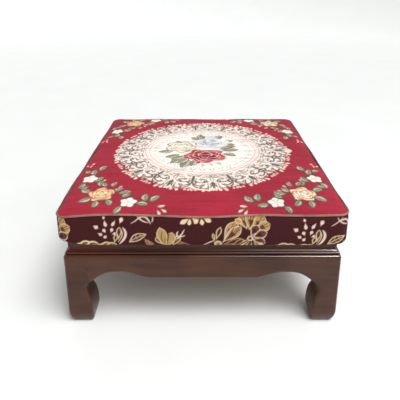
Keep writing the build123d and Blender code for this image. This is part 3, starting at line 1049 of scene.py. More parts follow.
        cloth.rose(6, -28, 45, Yarn.CORAL, Yarn.DEEP_RED, Yarn.WHITE, seed=8, squeeze=0.76)
        for x, y, turn in ((-24, -22, 205), (28, -14, 25), (32, -34, 330), (-4, -50, 250)):
            cloth.petal(x, y, turn, 20, 11, Yarn.CORAL, Yarn.BLUSH, 1.2)

    def spray(self, cloth: Pattern, side: int, end: int) -> None:
        """One corner's flowers, set out from the corner along the two edges and mirrored onto it.

        Leaves and buds have a place, a turn and a length.

        Args:
            cloth: the cloth that is woven.
            side: -1 for the left corners, 1 for the right.
            end: -1 for the front corners, 1 for the back.
        """

        def at(x: float, y: float) -> Spot:
            """A place from the corner, inwards along the front or back edge and along the side."""
            return side * (self.corner - x), end * (self.corner - y)

        def way(turn: float) -> float:
            """A direction in the corner's own sense, 0 along the front or back edge and 90 along the side."""
            a = math.radians(turn)
            return math.degrees(math.atan2(-end * math.sin(a), -side * math.cos(a)))

        stems = (
            ((70, 62), (120, 60), (178, 22)), ((68, 62), (50, 110), (42, 168)),
            ((168, 22), (182, 10), (196, 18)),
        )
        for points in stems:
            cloth.stroke([at(*p) for p in points], 2.0, Yarn.MOSS, 0.3)
        leaves = (
            (56, 52, 215, 24), (64, 40, 268, 20), (80, 42, 300, 20), (98, 60, 15, 22), (106, 46, 40, 18),
            (112, 22, 235, 18), (134, 28, 350, 20), (152, 34, 95, 22), (160, 32, 55, 22), (46, 104, 60, 22),
            (26, 106, 255, 20), (38, 134, 100, 22), (30, 146, 140, 18), (44, 152, 70, 22), (40, 90, 200, 16),
            (84, 84, 80, 18), (62, 88, 100, 20), (50, 68, 150, 22), (88, 66, 40, 20), (74, 86, 120, 18),
        )
        for x, y, turn, length in leaves:
            spot, facing = at(x, y), way(turn)
            cloth.leaf(*spot, facing, length * 1.22, length * 0.72, Yarn.SAGE, Yarn.MOSS, 0.1, 1.5, Yarn.MIST)
        buds = (
            (94, 78, 60, 14), (86, 92, 85, 12), (60, 104, 70, 13), (104, 66, 30, 12), (20, 168, 95, 14),
            (170, 20, 5, 14),
        )
        for x, y, turn, length in buds:
            cloth.petal(*at(x, y), way(turn), length, length * 0.6, Yarn.PINK, Yarn.DEEP_RED, 1.0)
        for x, y, turn in ((176, 18, 30), (180, 14, 330), (174, 12, 300), (18, 182, 60), (14, 178, 120)):
            cloth.petal(*at(x, y), way(turn), 11, 4.5, Yarn.BLUSH)
        for x, y, turn in ((122, 32, 10), (33, 119, 80)):
            cloth.star_flower(*at(x, y), 13.5, Yarn.WHITE, Yarn.MOSS, Yarn.BUTTER, way(turn))
        petal, shade = (Yarn.PEACH, Yarn.BUTTER) if side < 0 else (Yarn.BUTTER, Yarn.CREAM)
        cloth.rose(*at(69, 60), 23.5, petal, shade, Yarn.RUST, seed=11 + side + 3 * end)


@dataclass
class BandPattern:
    """The figures of the cushion's side band: gold and cream flowers that come again and again along it."""

    repeat: float = 335.0
    drop: float = -5.0

    def weave(self, cloth: Pattern, length: float) -> None:
        """Weaves the figures all the way along a band of that length, each second repeat a little lower."""
        for turn in range(-1, int(length // self.repeat) + 1):
            self.one(cloth, turn * self.repeat, self.drop * (turn % 2))

    def one(self, cloth: Pattern, s: float, h: float) -> None:
        """One repeat.

        Args:
            cloth: the cloth that is woven.
            s: the place of its left end, along the band.
            h: how much higher than usual it stands.
        """
        gold, pale, olive, blush, dark = Yarn.GOLD, Yarn.PALE_GOLD, Yarn.OLIVE, Yarn.BLUSH, Yarn.MAROON

        def drops(
            figures: Iterable[Drop], fill: Yarn, rim: Yarn | None = None, core: Yarn | None = None
        ) -> None:
            """Petals given by place, turn, length and width."""
            for x, y, turn, length, width in figures:
                cloth.petal(s + x, h + y, turn, length, width, fill, rim, 1.5, core)

        def lines(figures: Iterable[Curve], yarn: Yarn) -> None:
            """Curved strokes given by start, pull, end and width."""
            for start, pull, end, width in figures:
                cloth.stroke([(s + u, h + v) for u, v in (start, pull, end)], width, yarn)

        for x, wide in ((50, 19), (84, 15)):
            size = wide / 19
            for lobe, height in ((-0.72, 7.5), (-0.2, 12), (0.42, 11)):
                middle = s + x + lobe * wide
                for right, down, inset, yarn in ((0, 0, 0, pale), (0.6, 0.8, 2.2, olive), (1.4, 2, 5, gold)):
                    cloth.dot(middle + right, h - down, (height - inset) * size, yarn)
            cloth.dot(s + x + 0.2 * wide, h - 1, wide * 0.24, dark)
        tips = ((61, 40, 330, 9, 7), (80, 50, 280, 12, 5.5), (98, 50, 240, 12, 5), (106, 45, 70, 11, 6.5))
        drops((*tips, (77, 58, 300, 6, 4)), blush)
        tips = ((81, 27, 120, 8, 6), (90, 28, 70, 8, 5.5), (68, 26, 330, 8, 5.5), (82, 22, 235, 7, 5.5))
        drops((*tips, (92, 24, 20, 7, 5)), blush)
        drops(((102, 14, 84, 24, 9), (95, 8, 76, 16, 7.5)), olive, pale, dark)
        lines((((110, 37), (122, 24), (103, 5), 4.2), ((107, 33), (113, 24), (101, 9), 1.5)), blush)
        cloth.leaf(s + 120, h + 9, 28, 33, 14, dark, pale, 0.06, 1.6)
        lines((((124, 45), (134, 50), (143, 60), 1.5), ((134, 60), (139, 49), (154, 46), 2.0)), blush)
        lines((((138, 54), (150, 62), (157, 44), 2.6), ((158, 61), (163, 53), (159, 47), 1.7)), blush)
        drops(((146, 16, 300, 18, 7), (152, 14, 285, 15, 5), (163, 3, 150, 12, 5)), olive, gold)
        drops(((192, 0, 58, 26, 11), (176, 4, 128, 18, 9)), olive, pale)
        drops(((184, -3, 74, 32, 18), (182, -4, 104, 42, 18)), gold, pale)
        lines((((180, 34), (189, 24), (184, 10), 2.4),), dark)
        veins = ((178, 6), (172, 18), (176, 30), 1.8), ((184, 4), (184, 16), (188, 26), 2.2)
        lines((*veins, ((180, 2), (180, 10), (181, 18), 1.4)), olive)
        veins = ((199, 15), (206, 17), (213, 33), 2.6), ((203, 18), (198, 24), (203, 30), 2.4)
        lines((*veins, ((206, 20), (212, 20), (214, 22), 1.8)), blush)
        lines((((198, 12), (212, 8), (224, 1), 1.5), ((200, 6), (206, 4), (212, 6), 1.5)), gold)
        drops(((221, 53, 212, 17, 8), (223, 54, 262, 13, 6.5), (226, 55, 318, 12, 7)), blush, pale)
        drops(((238, 53, 226, 12, 7), (241, 54, 283, 13, 7), (244, 55, 332, 16, 8)), blush, pale)
        for x in (224, 241):
            cloth.dot(s + x, h + 54, 2.4, olive)
        lines((((244, 1), (255, 9), (264, 12), 1.8),), blush)
        drops(((266, 13, 72, 26, 9), (264, 10, 100, 16, 5)), olive, pale, dark)
        cloth.dot(s + 270, h + 5, 6.5, pale, 7, 0.06)
        cloth.dot(s + 270, h + 5, 4.4, gold)
        cloth.dot(s + 271, h + 4, 2.0, olive)
        drops(((279, 8, 62, 46, 22), (277, 8, 44, 44, 19)), gold, blush, olive)
        lines((((280, 10), (292, 22), (297, 42), 1.4), ((284, 12), (298, 22), (306, 38), 1.4)), dark)
        petals = (318, 34, 108, 28, 22), (322, 32, 80, 32, 22), (326, 30, 52, 34, 22), (330, 30, 28, 30, 20)
        drops(petals, gold, pale, olive)
        drops(((312, 44, 150, 16, 10),), gold, pale)
        drops(((325, 20, 62, 24, 17), (327, 18, 22, 27, 17), (327, 15, 340, 24, 16)), olive, blush, dark)
        hanging = (
            (322, 14, 200, 30), (322, 12, 222, 24), (323, 10, 245, 16), (326, 9, 280, 15), (330, 10, 305, 18),
            (332, 12, 328, 18),
        )
        drops([(x, y, turn, length, 5.0) for x, y, turn, length in hanging], pale)
        drops([(x, y, turn + 11, length * 0.7, 2.6) for x, y, turn, length in hanging], olive)
        drops(((277, 2, 22, 36, 11), (292, 0, 34, 26, 9)), olive, gold, dark)
        cloth.dot(s + 324, h + 16, 5, pale, 6, 0.1)
        cloth.dot(s + 324, h + 16, 3, olive)


# ---------------------------------------------------------------- the cushion


@dataclass
class RoundedSquare:
    """The cushion's outline: a square with rounded corners, walked from the front-left corner's middle."""

    half: float
    radius: float

    @property
    def side(self) -> float:
        """A quarter of the outline's length: one straight edge and two halves of a corner."""
        return 2 * (self.half - self.radius) + math.pi / 2 * self.radius

    def walk(self, way: np.ndarray) -> tuple[np.ndarray, np.ndarray]:
        """Points of the outline and the directions straight out from it.

        Args:
            way: how far round, in sides: 0 to 1 along the front, left to right, then right, back and left.

        Returns:
            Two tables of x and y. A side is half a corner's arc, the straight and half an arc, and each
            side is turned by 90 degrees.
        """
        quarter = np.floor(way).astype(int) % 4
        length = np.mod(way, 1) * self.side
        arc = math.pi / 4 * self.radius
        swing = np.clip(length / arc, 0, 1) + np.clip((length - self.side + arc) / arc, 0, 1)
        angle = -math.pi * 0.75 + math.pi / 4 * swing
        reach = self.half - self.radius
        middle = np.clip(length - arc, 0, 2 * reach) - reach
        point = np.stack([middle + self.radius * np.cos(angle), -reach + self.radius * np.sin(angle)], -1)
        out = np.stack([np.cos(angle), np.sin(angle)], -1)
        spin = quarter * math.pi / 2
        c, s = np.cos(spin), np.sin(spin)
        turned = []
        for table in (point, out):
            u, v = table[..., 0], table[..., 1]
            turned.append(np.stack([c * u - s * v, s * u + c * v], -1))
        return turned[0], turned[1]

    def fill(self, cells: int) -> tuple[np.ndarray, np.ndarray]:
        """A grid over the whole square, whose outer ring is the outline.

        Args:
            cells: how many cells a side.

        Returns:
            The points, rows from front to back, and each one's ring, 0 in the middle to 1 on the outline.
        """
        line = np.linspace(-1, 1, cells + 1)
        u, v = np.meshgrid(line, line)
        ring = np.maximum(np.abs(u), np.abs(v))
        safe = np.maximum(ring, TINY)
        sides = [(v == -ring, 0, u), (u == ring, 1, v), (v == ring, 2, -u), (u == -ring, 3, -v)]
        way = np.zeros_like(u)
        for here, number, along in reversed(sides):
            way = np.where(here, number + np.clip((along / safe + 1) / 2, 0, 1 - TINY), way)
        point, _ = self.walk(way)
        return point * ring[..., None], ring


def rim_numbers(cells: int) -> np.ndarray:
    """The vertex numbers of a square grid's outer ring, from its front-left corner, the right way round."""
    grid = np.arange((cells + 1) ** 2).reshape(cells + 1, cells + 1)
    return np.concatenate([grid[0, :-1], grid[:-1, -1], grid[-1, :0:-1], grid[:0:-1, 0]])


@dataclass
class Swelling:
    """The cushion blown up by cloth simulation: how far each point of a coarse form moves."""

    outline: RoundedSquare
    seam: float
    bottom: float
    cells: int = 40
    rows: int = 6
    pressure: float = 4.0
    dome: float = 0.002
    quality: int = 6
    last_frame: int = 20
    top_move: np.ndarray = field(init=False)
    band_move: np.ndarray = field(init=False)

    def form(self) -> tuple[np.ndarray, list[np.ndarray], np.ndarray]:
        """The closed coarse form: a top grid, a band and a bottom grid that share their rings.

        Returns:
            Its points, its tables of quads, and the numbers of the points that are held: seam and bottom.
        """
        plan, ring = self.outline.fill(self.cells)
        count = (self.cells + 1) ** 2
        rim = rim_numbers(self.cells)
        top = np.dstack([plan, self.seam + self.dome * (1 - ring**2)]).reshape(-1, 3)
        low = np.dstack([plan, np.full_like(ring, self.bottom)]).reshape(-1, 3)
        levels = np.linspace(self.seam, self.bottom, self.rows + 1)[1:-1]
        walls = [np.column_stack([top[rim][:, :2], np.full(len(rim), z)]) for z in levels]
        numbers = [rim]
        numbers += [2 * count + k * len(rim) + np.arange(len(rim)) for k in range(len(levels))]
        numbers += [count + rim]
        grid = np.arange(count).reshape(self.cells + 1, -1)
        band = sheet_faces(looped(np.stack(numbers[::-1]), 1))
        faces = [sheet_faces(grid), sheet_faces(grid + count)[:, ::-1], band]
        held = np.concatenate([rim, count + np.arange(count)])
        return np.concatenate([top, low, *walls]), faces, held

    def run(self) -> None:
        """Steps the cloth under inner pressure, with no weight, and keeps each point's move."""
        points, faces, held = self.form()
        piece = make_piece("swelling_form", points, faces, None)
        group = piece.vertex_groups.new(name="held")
        group.add([int(n) for n in held], 1.0, "REPLACE")
        cloth = piece.modifiers.new("swelling", "CLOTH")
        cloth.settings.quality = self.quality
        cloth.settings.vertex_group_mass = "held"
        cloth.settings.use_pressure = True
        cloth.settings.uniform_pressure_force = self.pressure
        cloth.settings.effector_weights.gravity = 0
        cloth.point_cache.frame_end = self.last_frame
        scene = bpy.context.scene
        for number in range(1, self.last_frame + 1):
            scene.frame_set(number)
        bpy.context.view_layer.objects.active = piece
        bpy.ops.object.modifier_apply(modifier=cloth.name)
        scene.frame_set(1)
        moved = np.zeros(len(points) * 3, np.float32)
        piece.data.vertices.foreach_get("co", moved)
        bpy.data.objects.remove(piece)
        move = moved.reshape(-1, 3) - points
        count = (self.cells + 1) ** 2
        rim = rim_numbers(self.cells)
        self.top_move = move[:count].reshape(self.cells + 1, self.cells + 1, 3)
        walls = move[2 * count :].reshape(self.rows - 1, len(rim), 3)
        self.band_move = np.concatenate([move[rim][None], walls, move[count + rim][None]])
        high, wide = self.top_move[..., 2].max(), np.abs(self.band_move).max()
        LOG.info("swelling: top %.1f mm, band %.1f mm", high / MM, wide / MM)


@dataclass
class Cushion:
    """The boxed cushion: woven top on its foam, damask band, piping, backing cloth and the zip's coil.

    The seam's waves die away over seam_reach and its gathers over gather_reach. The dome takes up a
    share of the crown, and the simulated bulge a share of the belly. Ease is the height of small
    unevenness, and nap that of the cloth's own. The band and the backing stand their gaps above
    the bottom, and a lift is a bell's height and width.
    """

    cells: int = 400
    band_rows: int = 46
    inner_rows: int = 10
    corner_radius: float = 0.018
    seam_inset: float = 0.0026
    piping_radius: float = 0.0017
    seam_reach: float = 0.030
    gathers: tuple[float, ...] = (0.0130, 0.0210, 0.0340, 0.0087)
    gather_reach: float = 0.009
    crown: float = 0.0115
    dome_share: float = 0.48
    edge_roll: float = 0.0095
    belly: float = 0.0024
    bulge_share: float = 0.45
    lower_round: float = 0.0075
    lower_tuck: float = 0.0048
    left_lift: Spot = (0.0075, 0.035)
    right_lift: Spot = (0.0025, 0.030)
    zip_clearance: float = 0.0002
    band_gap: float = 0.0003
    backing_gap: float = 0.0006
    bottom_inset: float = 0.0030
    placket_half: float = 0.2005
    placket_depth: float = 0.0082
    cloth_thick: float = 0.0014
    pile_height: float = 0.0005
    ease: float = 0.0005
    nap: float = 0.0004
    core_inset: float = 0.0085
    core_drop: float = 0.0060
    core_base: float = 0.0025
    bottom_cells: int = 100
    piping_sides: int = 12
    coil_turns: int = 240
    coil_steps: int = 5
    coil_across: int = 11
    outer: float = field(init=False)
    seam_z: float = field(init=False)
    bottom_z: float = field(init=False)

    def __post_init__(self) -> None:
        """Reads the sizes that the frame already holds."""
        low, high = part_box("piping_top")
        self.outer = high.x
        self.seam_z = (low.z + high.z) / 2
        self.bottom_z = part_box("cover_bottom")[0].z
        self.outline = RoundedSquare(self.outer - self.seam_inset, self.corner_radius)
        self.swelling = Swelling(self.outline, self.seam_z, self.bottom_z)

    def seam_rise(self, plan: np.ndarray, way: np.ndarray) -> np.ndarray:
        """How far the piped seam stands above or below its level.

        The front seam dips at its middle and its left corner and rises between them, as five bells of
        a place, a width and a height in millimetres; the other sides have slow uneven waves.

        Args:
            plan: the points in plan.
            way: how far round each is, in sides.

        Returns:
            The height at each point.
        """
        bells = (
            (-0.252, 0.045, -3.6), (-0.150, 0.060, 2.2), (0.005, 0.055, -2.6), (0.095, 0.050, 1.6),
            (0.240, 0.040, 1.4),
        )
        front = sum(bump_at(plan[..., 0], centre, width) * height for centre, width, height in bells)
        other = 1.5 * ripple(way * self.outline.side, (0.31, 0.19, 0.12), seed=4)
        share = smooth(-plan[..., 1], 0.17, 0.235)
        return MM * (front * share + other * (1 - share))

    def corner_lift(self, plan: np.ndarray) -> np.ndarray:
        """How far the underside turns up at the two front corners: a bell of a height and a width at each.

        Args:
            plan: the points in plan.

        Returns:
            The lift at each point.
        """
        x, y = plan[..., 0], plan[..., 1] + self.outer
        lift = np.zeros_like(x)
        for side, (height, width) in ((-1, self.left_lift), (1, self.right_lift)):
            lift = lift + height * bump_at(np.hypot(x - side * self.outer, y), 0, width)
        return lift

    def pucker(self, way: np.ndarray, gap: np.ndarray, seed: int) -> np.ndarray:
        """Small gathers along a seam: uneven waves that die away with the distance from it."""
        return ripple(way * self.outline.side, self.gathers, seed) * np.exp(-gap / self.gather_reach)

    def top_surface(self) -> tuple[np.ndarray, np.ndarray]:
        """The top's points.

        Their height is the seam's, plus the roll of the foam's edge, 1 - e^(-d/9.5 mm), shared with the
        simulated dome, plus slow hollows and the seam's gathers.

        Returns:
            The points as a grid, and the same points flat in plan.
        """
        plan, ring = self.outline.fill(self.cells)
        gap = (1 - ring) * self.outline.half
        dense = resampler(self.swelling.cells + 1, self.cells + 1, False)
        dome = np.einsum("ai,ijk,bj->abk", dense, self.swelling.top_move, dense, optimize=True)
        dome_z = np.maximum(dome[..., 2], 0)
        dome_z = dome_z / max(dome_z.max(), TINY)
        roll = 1 - np.exp(-gap / self.edge_roll)
        angle = np.arctan2(plan[..., 1], plan[..., 0])
        way = np.mod(angle / TURN * 4 + 2.5, 4)
        slow = ripple(plan[..., 0] + 0.4 * plan[..., 1], (0.21, 0.34, 0.13), seed=21)
        slow = slow + ripple(plan[..., 1] - 0.3 * plan[..., 0], (0.17, 0.29, 0.11), seed=22)
        z = self.seam_z + self.seam_rise(plan, way) * np.exp(-gap / self.seam_reach)
        z = z + self.crown * ((1 - self.dome_share) * roll + self.dome_share * dome_z**0.8)
        z = z + self.ease * slow * roll
        z = z + 0.0006 * self.pucker(way, gap, seed=23) * smooth(gap, 0.0, 0.004)
        return np.dstack([plan, z]), plan

    def make_top(self) -> bpy.types.Object:
        """The woven top with the foam block under it, as one closed padded form.

        Returns:
            The piece: the top's grid, two rings of the block's wall, and a fan over its underside.
        """
        points, plan = self.top_surface()
        cloth = Pattern(plan[..., 0].ravel() / MM, plan[..., 1].ravel() / MM, Yarn.RED)
        TopPattern().weave(cloth)
        points[..., 2] += (cloth.pile * self.pile_height).reshape(points.shape[:2])
        flat = points.reshape(-1, 3)
        rim = rim_numbers(self.cells)
        way = np.arange(len(rim)) / self.cells
        core, _ = RoundedSquare(self.outline.half - self.core_inset, self.corner_radius * 0.6).walk(way)
        base = self.bottom_z + self.core_base
        levels = (np.full(len(rim), self.seam_z - self.core_drop), base + self.corner_lift(core))
        walls = [np.column_stack([core, z]) for z in levels]
        numbers = [rim] + [len(flat) + k * len(rim) + np.arange(len(rim)) for k in range(len(levels))]
        middle = len(flat) + len(levels) * len(rim)
        last = numbers[-1]
        fan = np.stack([np.full(len(last), middle), np.roll(last, -1), last], axis=1)
        grid = np.arange(len(flat)).reshape(self.cells + 1, -1)
        body = sheet_faces(looped(np.stack(numbers[::-1]), 1))
        every = np.concatenate([flat, *walls, [[0, 0, base]]])
        piece = make_piece("cushion_top", every, [sheet_faces(grid), body, fan], Chenille().make())
        colour = np.tile(np.array(Yarn.MAROON.value), (len(every), 1))
        colour[: len(flat)] = cloth.colour
        paint(piece, "threads", colour)
        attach(piece, "cushion")
        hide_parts("cover_top", "foam_core")
        return piece

    def band_surface(self) -> tuple[np.ndarray, np.ndarray, np.ndarray, np.ndarray]:
        """The band's outer points, rows from the seam down to the bottom edge.

        Each stands out from the seam's outline by a swelling that grows over 9 mm below the piping and
        rounds inwards over the last 8 mm, with the simulated bulge on top. Around the zip the band
        lies flat, and its two edges fold inwards to the tape.

        Returns:
            The points, the directions straight out, the way round and the height above the bottom.
        """
        columns = 4 * self.cells
        way = np.arange(columns) / self.cells
        plan, out = self.outline.walk(way)
        share = np.linspace(0, 1, self.band_rows + 1)[:, None]
        top = self.seam_z + self.seam_rise(plan, way)[None]
        x, y = plan[:, 0], plan[:, 1]
        low = self.bottom_z + self.band_gap + self.corner_lift(plan)[None]
        z = top + (low - top) * share
        fall, rise = top - z, z - low
        rows = resampler(self.swelling.rows + 1, self.band_rows + 1, False)
        round_ = resampler(self.swelling.band_move.shape[1], columns, True)
        move = np.einsum("ai,ijk,bj->abk", rows, self.swelling.band_move, round_, optimize=True)
        bulge = np.clip((move[..., :2] * out[None]).sum(2), 0, None)
        bulge = bulge / max(bulge.max(), TINY)
        swell = smooth(fall, 0.0005, 0.009)
        stand = self.belly * ((1 - self.bulge_share) * swell + self.bulge_share * bulge)
        corner = np.clip(self.lower_round - rise, 0, None) / self.lower_round
        stand = stand - self.lower_tuck * (1 - np.sqrt(np.clip(1 - corner**2, 0, 1)))
        stand = stand + self.ease * self.pucker(way[None], fall, seed=31) * smooth(fall, 0.0, 0.003)
        stand = stand + self.nap * self.pucker(way[None], rise, seed=32)
        waves = ripple(way * self.outline.side, (0.16, 0.27, 0.09), seed=33)[None]
        stand = stand + self.ease * waves * smooth(rise, 0, 0.02)
        back = (y > 0)[None]
        zip_z = (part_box("zip_tape_lower")[0].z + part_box("zip_tape_upper")[1].z) / 2
        zip_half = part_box("zip_tape_upper")[1].z - zip_z + self.zip_clearance
        aside = np.maximum(np.abs(x)[None] - self.placket_half, np.abs(z - zip_z) - zip_half)
        stand = np.where(back, stand * smooth(aside, 0.001, 0.012), stand)
        fold = np.where(back, smooth(-aside, -0.0008, 0.0012), 0)
        stand = stand - (self.placket_depth - self.seam_inset) * fold
        points = np.dstack([x[None] + out[None, :, 0] * stand, y[None] + out[None, :, 1] * stand, z])
        return points, out, way, z - self.bottom_z

    def make_band(self) -> bpy.types.Object:
        """The damask band: its outer face, and a plainer inner face the cloth's thickness behind it.

        Returns:
            The piece.
        """
        points, out, way, height = self.band_surface()
        columns = len(way)
        length = 4 * self.outline.side / MM
        run = np.broadcast_to(way[None] * self.outline.side, height.shape)
        cloth = Pattern(run.ravel() / MM, height.ravel() / MM, Yarn.MAROON)
        BandPattern().weave(cloth, length)
        rows = np.linspace(self.band_rows, 0, self.inner_rows).round().astype(int)
        inner = points[rows].copy()
        inner[..., :2] -= out[None] * self.cloth_thick
        every = listed(points, inner)
        number = np.arange(len(every)).reshape(-1, columns)
        strip = looped(looped(number, 0), 1)
        piece = make_piece("cushion_band", every, [sheet_faces(strip)[:, ::-1]], Damask().make())
        colour = np.tile(np.array(Yarn.MAROON.value), (len(every), 1))
        colour[: cloth.pile.size] = cloth.colour
        paint(piece, "threads", colour)
        figure = piece.data.attributes.new("figure", "FLOAT", "POINT")
        pile = np.zeros(len(every), np.float32)
        pile[: cloth.pile.size] = cloth.pile
        figure.data.foreach_set("value", pile)
        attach(piece, "cushion")
        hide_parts("cover_band")
        return piece

    def make_bottom(self) -> bpy.types.Object:
        """The backing cloth under the cushion: two grids a cloth's thickness apart, joined round their rings.

        Returns:
            The piece.
        """
        cells = self.bottom_cells
        shape = RoundedSquare(self.outline.half - self.bottom_inset, self.corner_radius - self.bottom_inset)
        plan, ring = shape.fill(cells)
        gap = (1 - ring) * self.outline.half
        sag = ripple(plan[..., 0] + plan[..., 1], (0.12, 0.19, 0.07), seed=41) * smooth(gap, 0.0, 0.03)
        turned_in = 1 - smooth(gap, 0, 0.004)
        level = self.bottom_z + self.backing_gap + self.corner_lift(plan)
        low = np.dstack([plan, level + self.nap * (sag + turned_in)])
        high = low + np.array([0, 0, self.cloth_thick])
        count = (cells + 1) ** 2
        grid = np.arange(count).reshape(cells + 1, -1)
        rim = rim_numbers(cells)
        wall = looped(np.stack([rim, rim + count]), 1)
        faces = [sheet_faces(grid)[:, ::-1], sheet_faces(grid + count), sheet_faces(wall)]
        finish = PlainWeave("backing_cloth", dye(58, 30, 33), threads=260.0).make()
        piece = make_piece("cushion_bottom", listed(low, high), faces, finish)
        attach(piece, "cushion")
        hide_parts("cover_bottom")
        return piece

    def make_piping(self) -> bpy.types.Object:
        """The piping: a round tube carried along the seam, with faint swellings of its bias-cut cover.

        Returns:
            The piece, beige in front and mostly wine elsewhere.
        """
        stations, around = 2 * self.cells, self.piping_sides
        way = np.arange(stations) * 4 / stations
        plan, out = self.outline.walk(way)
        angle = np.arange(around) * TURN / around
        z = self.seam_z + self.seam_rise(plan, way) + self.ease
        thick = self.piping_radius * (1 + 0.05 * ripple(way * self.outline.side, (0.011, 0.017), seed=51))
        reach = thick[:, None] * np.cos(angle)[None] + self.nap
        points = np.dstack([
            plan[:, None, 0] + out[:, None, 0] * reach,
            plan[:, None, 1] + out[:, None, 1] * reach,
            z[:, None] + thick[:, None] * np.sin(angle)[None],
        ])
        number = np.arange(stations * around).reshape(stations, around)
        faces = [sheet_faces(looped(looped(number, 0), 1))]
        weave = PlainWeave("piping_cloth", Yarn.BEIGE.value, threads=420.0, depth=0.0002, painted=True)
        finish = weave.make()
        piece = make_piece("cushion_piping", points.reshape(-1, 3), faces, finish)
        patch = ripple(way * self.outline.side, (0.19, 0.083, 0.041), seed=52)
        front = smooth(-plan[:, 1], 0.2, 0.24)
        light = np.clip(front * 0.85 + 0.35 * smooth(patch, 0.1, 0.5) - 0.3 * smooth(-patch, 0.25, 0.5), 0, 1)
        wine, beige = (np.array(yarn.value) for yarn in (Yarn.WINE, Yarn.BEIGE))
        tone = wine + (beige - wine) * light[:, None]
        paint(piece, "threads", np.repeat(tone, around, axis=0))
        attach(piece, "cushion")
        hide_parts("piping_top")
        return piece

    def make_coil(self) -> bpy.types.Object:
        """The zip's coil: two rows of rounded turns that mesh along the middle, over a flat back.

        Its face stands out by a ridge a turn, |cos| of the way along, set half a turn apart in the two rows.

        Returns:
            The piece.
        """
        low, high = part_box("zip_chain")
        turns, across = self.coil_turns, self.coil_across
        x = np.linspace(low.x, high.x, turns * self.coil_steps + 1)
        t = np.linspace(-1, 1, across)
        phase = (x - low.x) / (high.x - low.x) * turns * math.pi
        shift = np.where(t > 0, math.pi / 2, 0.0)
        ridge = np.abs(np.cos(phase[:, None] + shift[None]))
        hump = np.sqrt(np.clip(1 - (np.abs(t) * 1.9 - 0.95) ** 2, 0, 1))[None]
        depth = high.y - low.y
        y = low.y + depth * (0.25 + 0.75 * ridge * hump)
        z = (low.z + high.z) / 2 + t * (high.z - low.z) / 2
        face = np.dstack([np.broadcast_to(x[:, None], y.shape), y, np.broadcast_to(z[None], y.shape)])
        back = face.copy()
        back[..., 1] = low.y
        count = face.shape[0] * across
        grid = np.arange(count).reshape(-1, across)
        rim = np.concatenate([grid[:-1, 0], grid[-1, :-1], grid[:0:-1, -1], grid[0, :0:-1]])
        wall = looped(np.stack([rim, rim + count]), 1)
        faces = [sheet_faces(grid), sheet_faces(grid + count)[:, ::-1], sheet_faces(wall)[:, ::-1]]
        finish = Moulded("zip_nylon", dye(70, 34, 38)).make()
        piece = make_piece("zip_coil", listed(face, back), faces, finish)
        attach(piece, "cushion")
        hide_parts("zip_chain")
        return piece

    def build(self) -> None:
        """Runs the simulation and makes every soft piece."""
        self.swelling.run()
        self.make_top()
        self.make_band()
        self.make_bottom()
        self.make_piping()
        self.make_coil()


# ---------------------------------------------------------------- the stand and the zip


@dataclass
class Stand:
    """The wooden stand and its hidden deck: the frame's own nodes, dressed."""

    lacquered: Timber = Timber(
        "lacquered_wood", dark=dye(54, 30, 19), light=dye(84, 50, 33), gloss=0.24, lacquer=0.16, pores=0.12,
        worn=dye(140, 112, 94), wear_height=0.010,
    )
    # The waist and the top frame are the aprons' wood, but darker and redder: painted shade under the
    # cushion's overhang and a painted reflection of its red cloth.
    waist: Timber = Timber(
        "waist_with_painted_shade", dark=dye(66, 32, 22), light=dye(86, 43, 31), gloss=0.28, lacquer=0.14, pores=0.2
    )
    deck: Timber = Timber(
        "deck_wood", dark=dye(150, 116, 78), light=dye(196, 162, 118), gloss=0.6, lacquer=0.0, pores=0.4
    )
    raw: Timber = Timber(
        "raw_wood", dark=dye(132, 98, 66), light=dye(176, 138, 98), gloss=0.68, lacquer=0.0, pores=0.5
    )
    steel: Metal = Metal("screw_steel", dye(170, 168, 160), gloss=0.3)

    def dress(self) -> None:
        """Gives each wooden node the grain of its own length, and the screws their plating."""
        timbers = (self.lacquered, self.waist, self.deck, self.raw)
        finishes = {(timber.name, grain): timber.make(grain) for timber in timbers for grain in Grain}
        steel = self.steel.make()
        for name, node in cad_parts.items():
            if name == "deck_screws":
                dress_node(node, steel)
                continue
            timber = self.timber_of(name)
            if timber is not None:
                dress_node(node, finishes[timber.name, self.grain_of(name)])

    def timber_of(self, name: str) -> Timber | None:
        """The wood that a node is made of.

        Args:
            name: the node's name.

        Returns:
            The wood, or None if the node isn't wood.
        """
        if name.startswith(("leg_", "apron_")):
            return self.lacquered
        # The waist and the top frame take the tone with the painted shade and the painted red reflection.
        if name.startswith(("waist_", "top_frame_")):
            return self.waist
        if name == "deck_panel":
            return self.deck
        return self.raw if name.startswith(("deck_batten", "glue_blocks")) else None

    def grain_of(self, name: str) -> Grain:
        """The way of a node's longest side, with legs upright.

        Args:
            name: the node's name.

        Returns:
            The way of its grain.
        """
        if name.startswith(("leg_", "glue_blocks")):
            return Grain.ALONG_Z
        low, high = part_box(name)
        return Grain.ALONG_X if high.x - low.x >= high.y - low.y else Grain.ALONG_Y


@dataclass
class Zip:
    """The zip's tapes, stops, slider and pull: the frame's own nodes, dressed."""

    tape: PlainWeave = PlainWeave("zip_tape", dye(84, 40, 44), threads=520.0)
    metal: Metal = Metal("zip_metal", dye(176, 150, 104), gloss=0.28)

    def dress(self) -> None:
        """Gives the tapes their weave and the metal parts their plating."""
        tape, metal = self.tape.make(), self.metal.make()
        for name in ("zip_tape_upper", "zip_tape_lower"):
            dress_node(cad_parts[name], tape)
        for name in ("zip_stops", "zip_slider", "zip_pull"):
            dress_node(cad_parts[name], metal)


def dress_node(node: bpy.types.Object, finish: bpy.types.Material) -> None:
    """Puts one material on every slot of a node of the frame.

    Args:
        node: the node.
        finish: the material.
    """
    if not node.material_slots:
        node.data.materials.append(finish)
    for place in node.material_slots:
        place.material = finish
    LOG.info("%s: %s", node.name, finish.name)


# ---------------------------------------------------------------- floor, light and camera


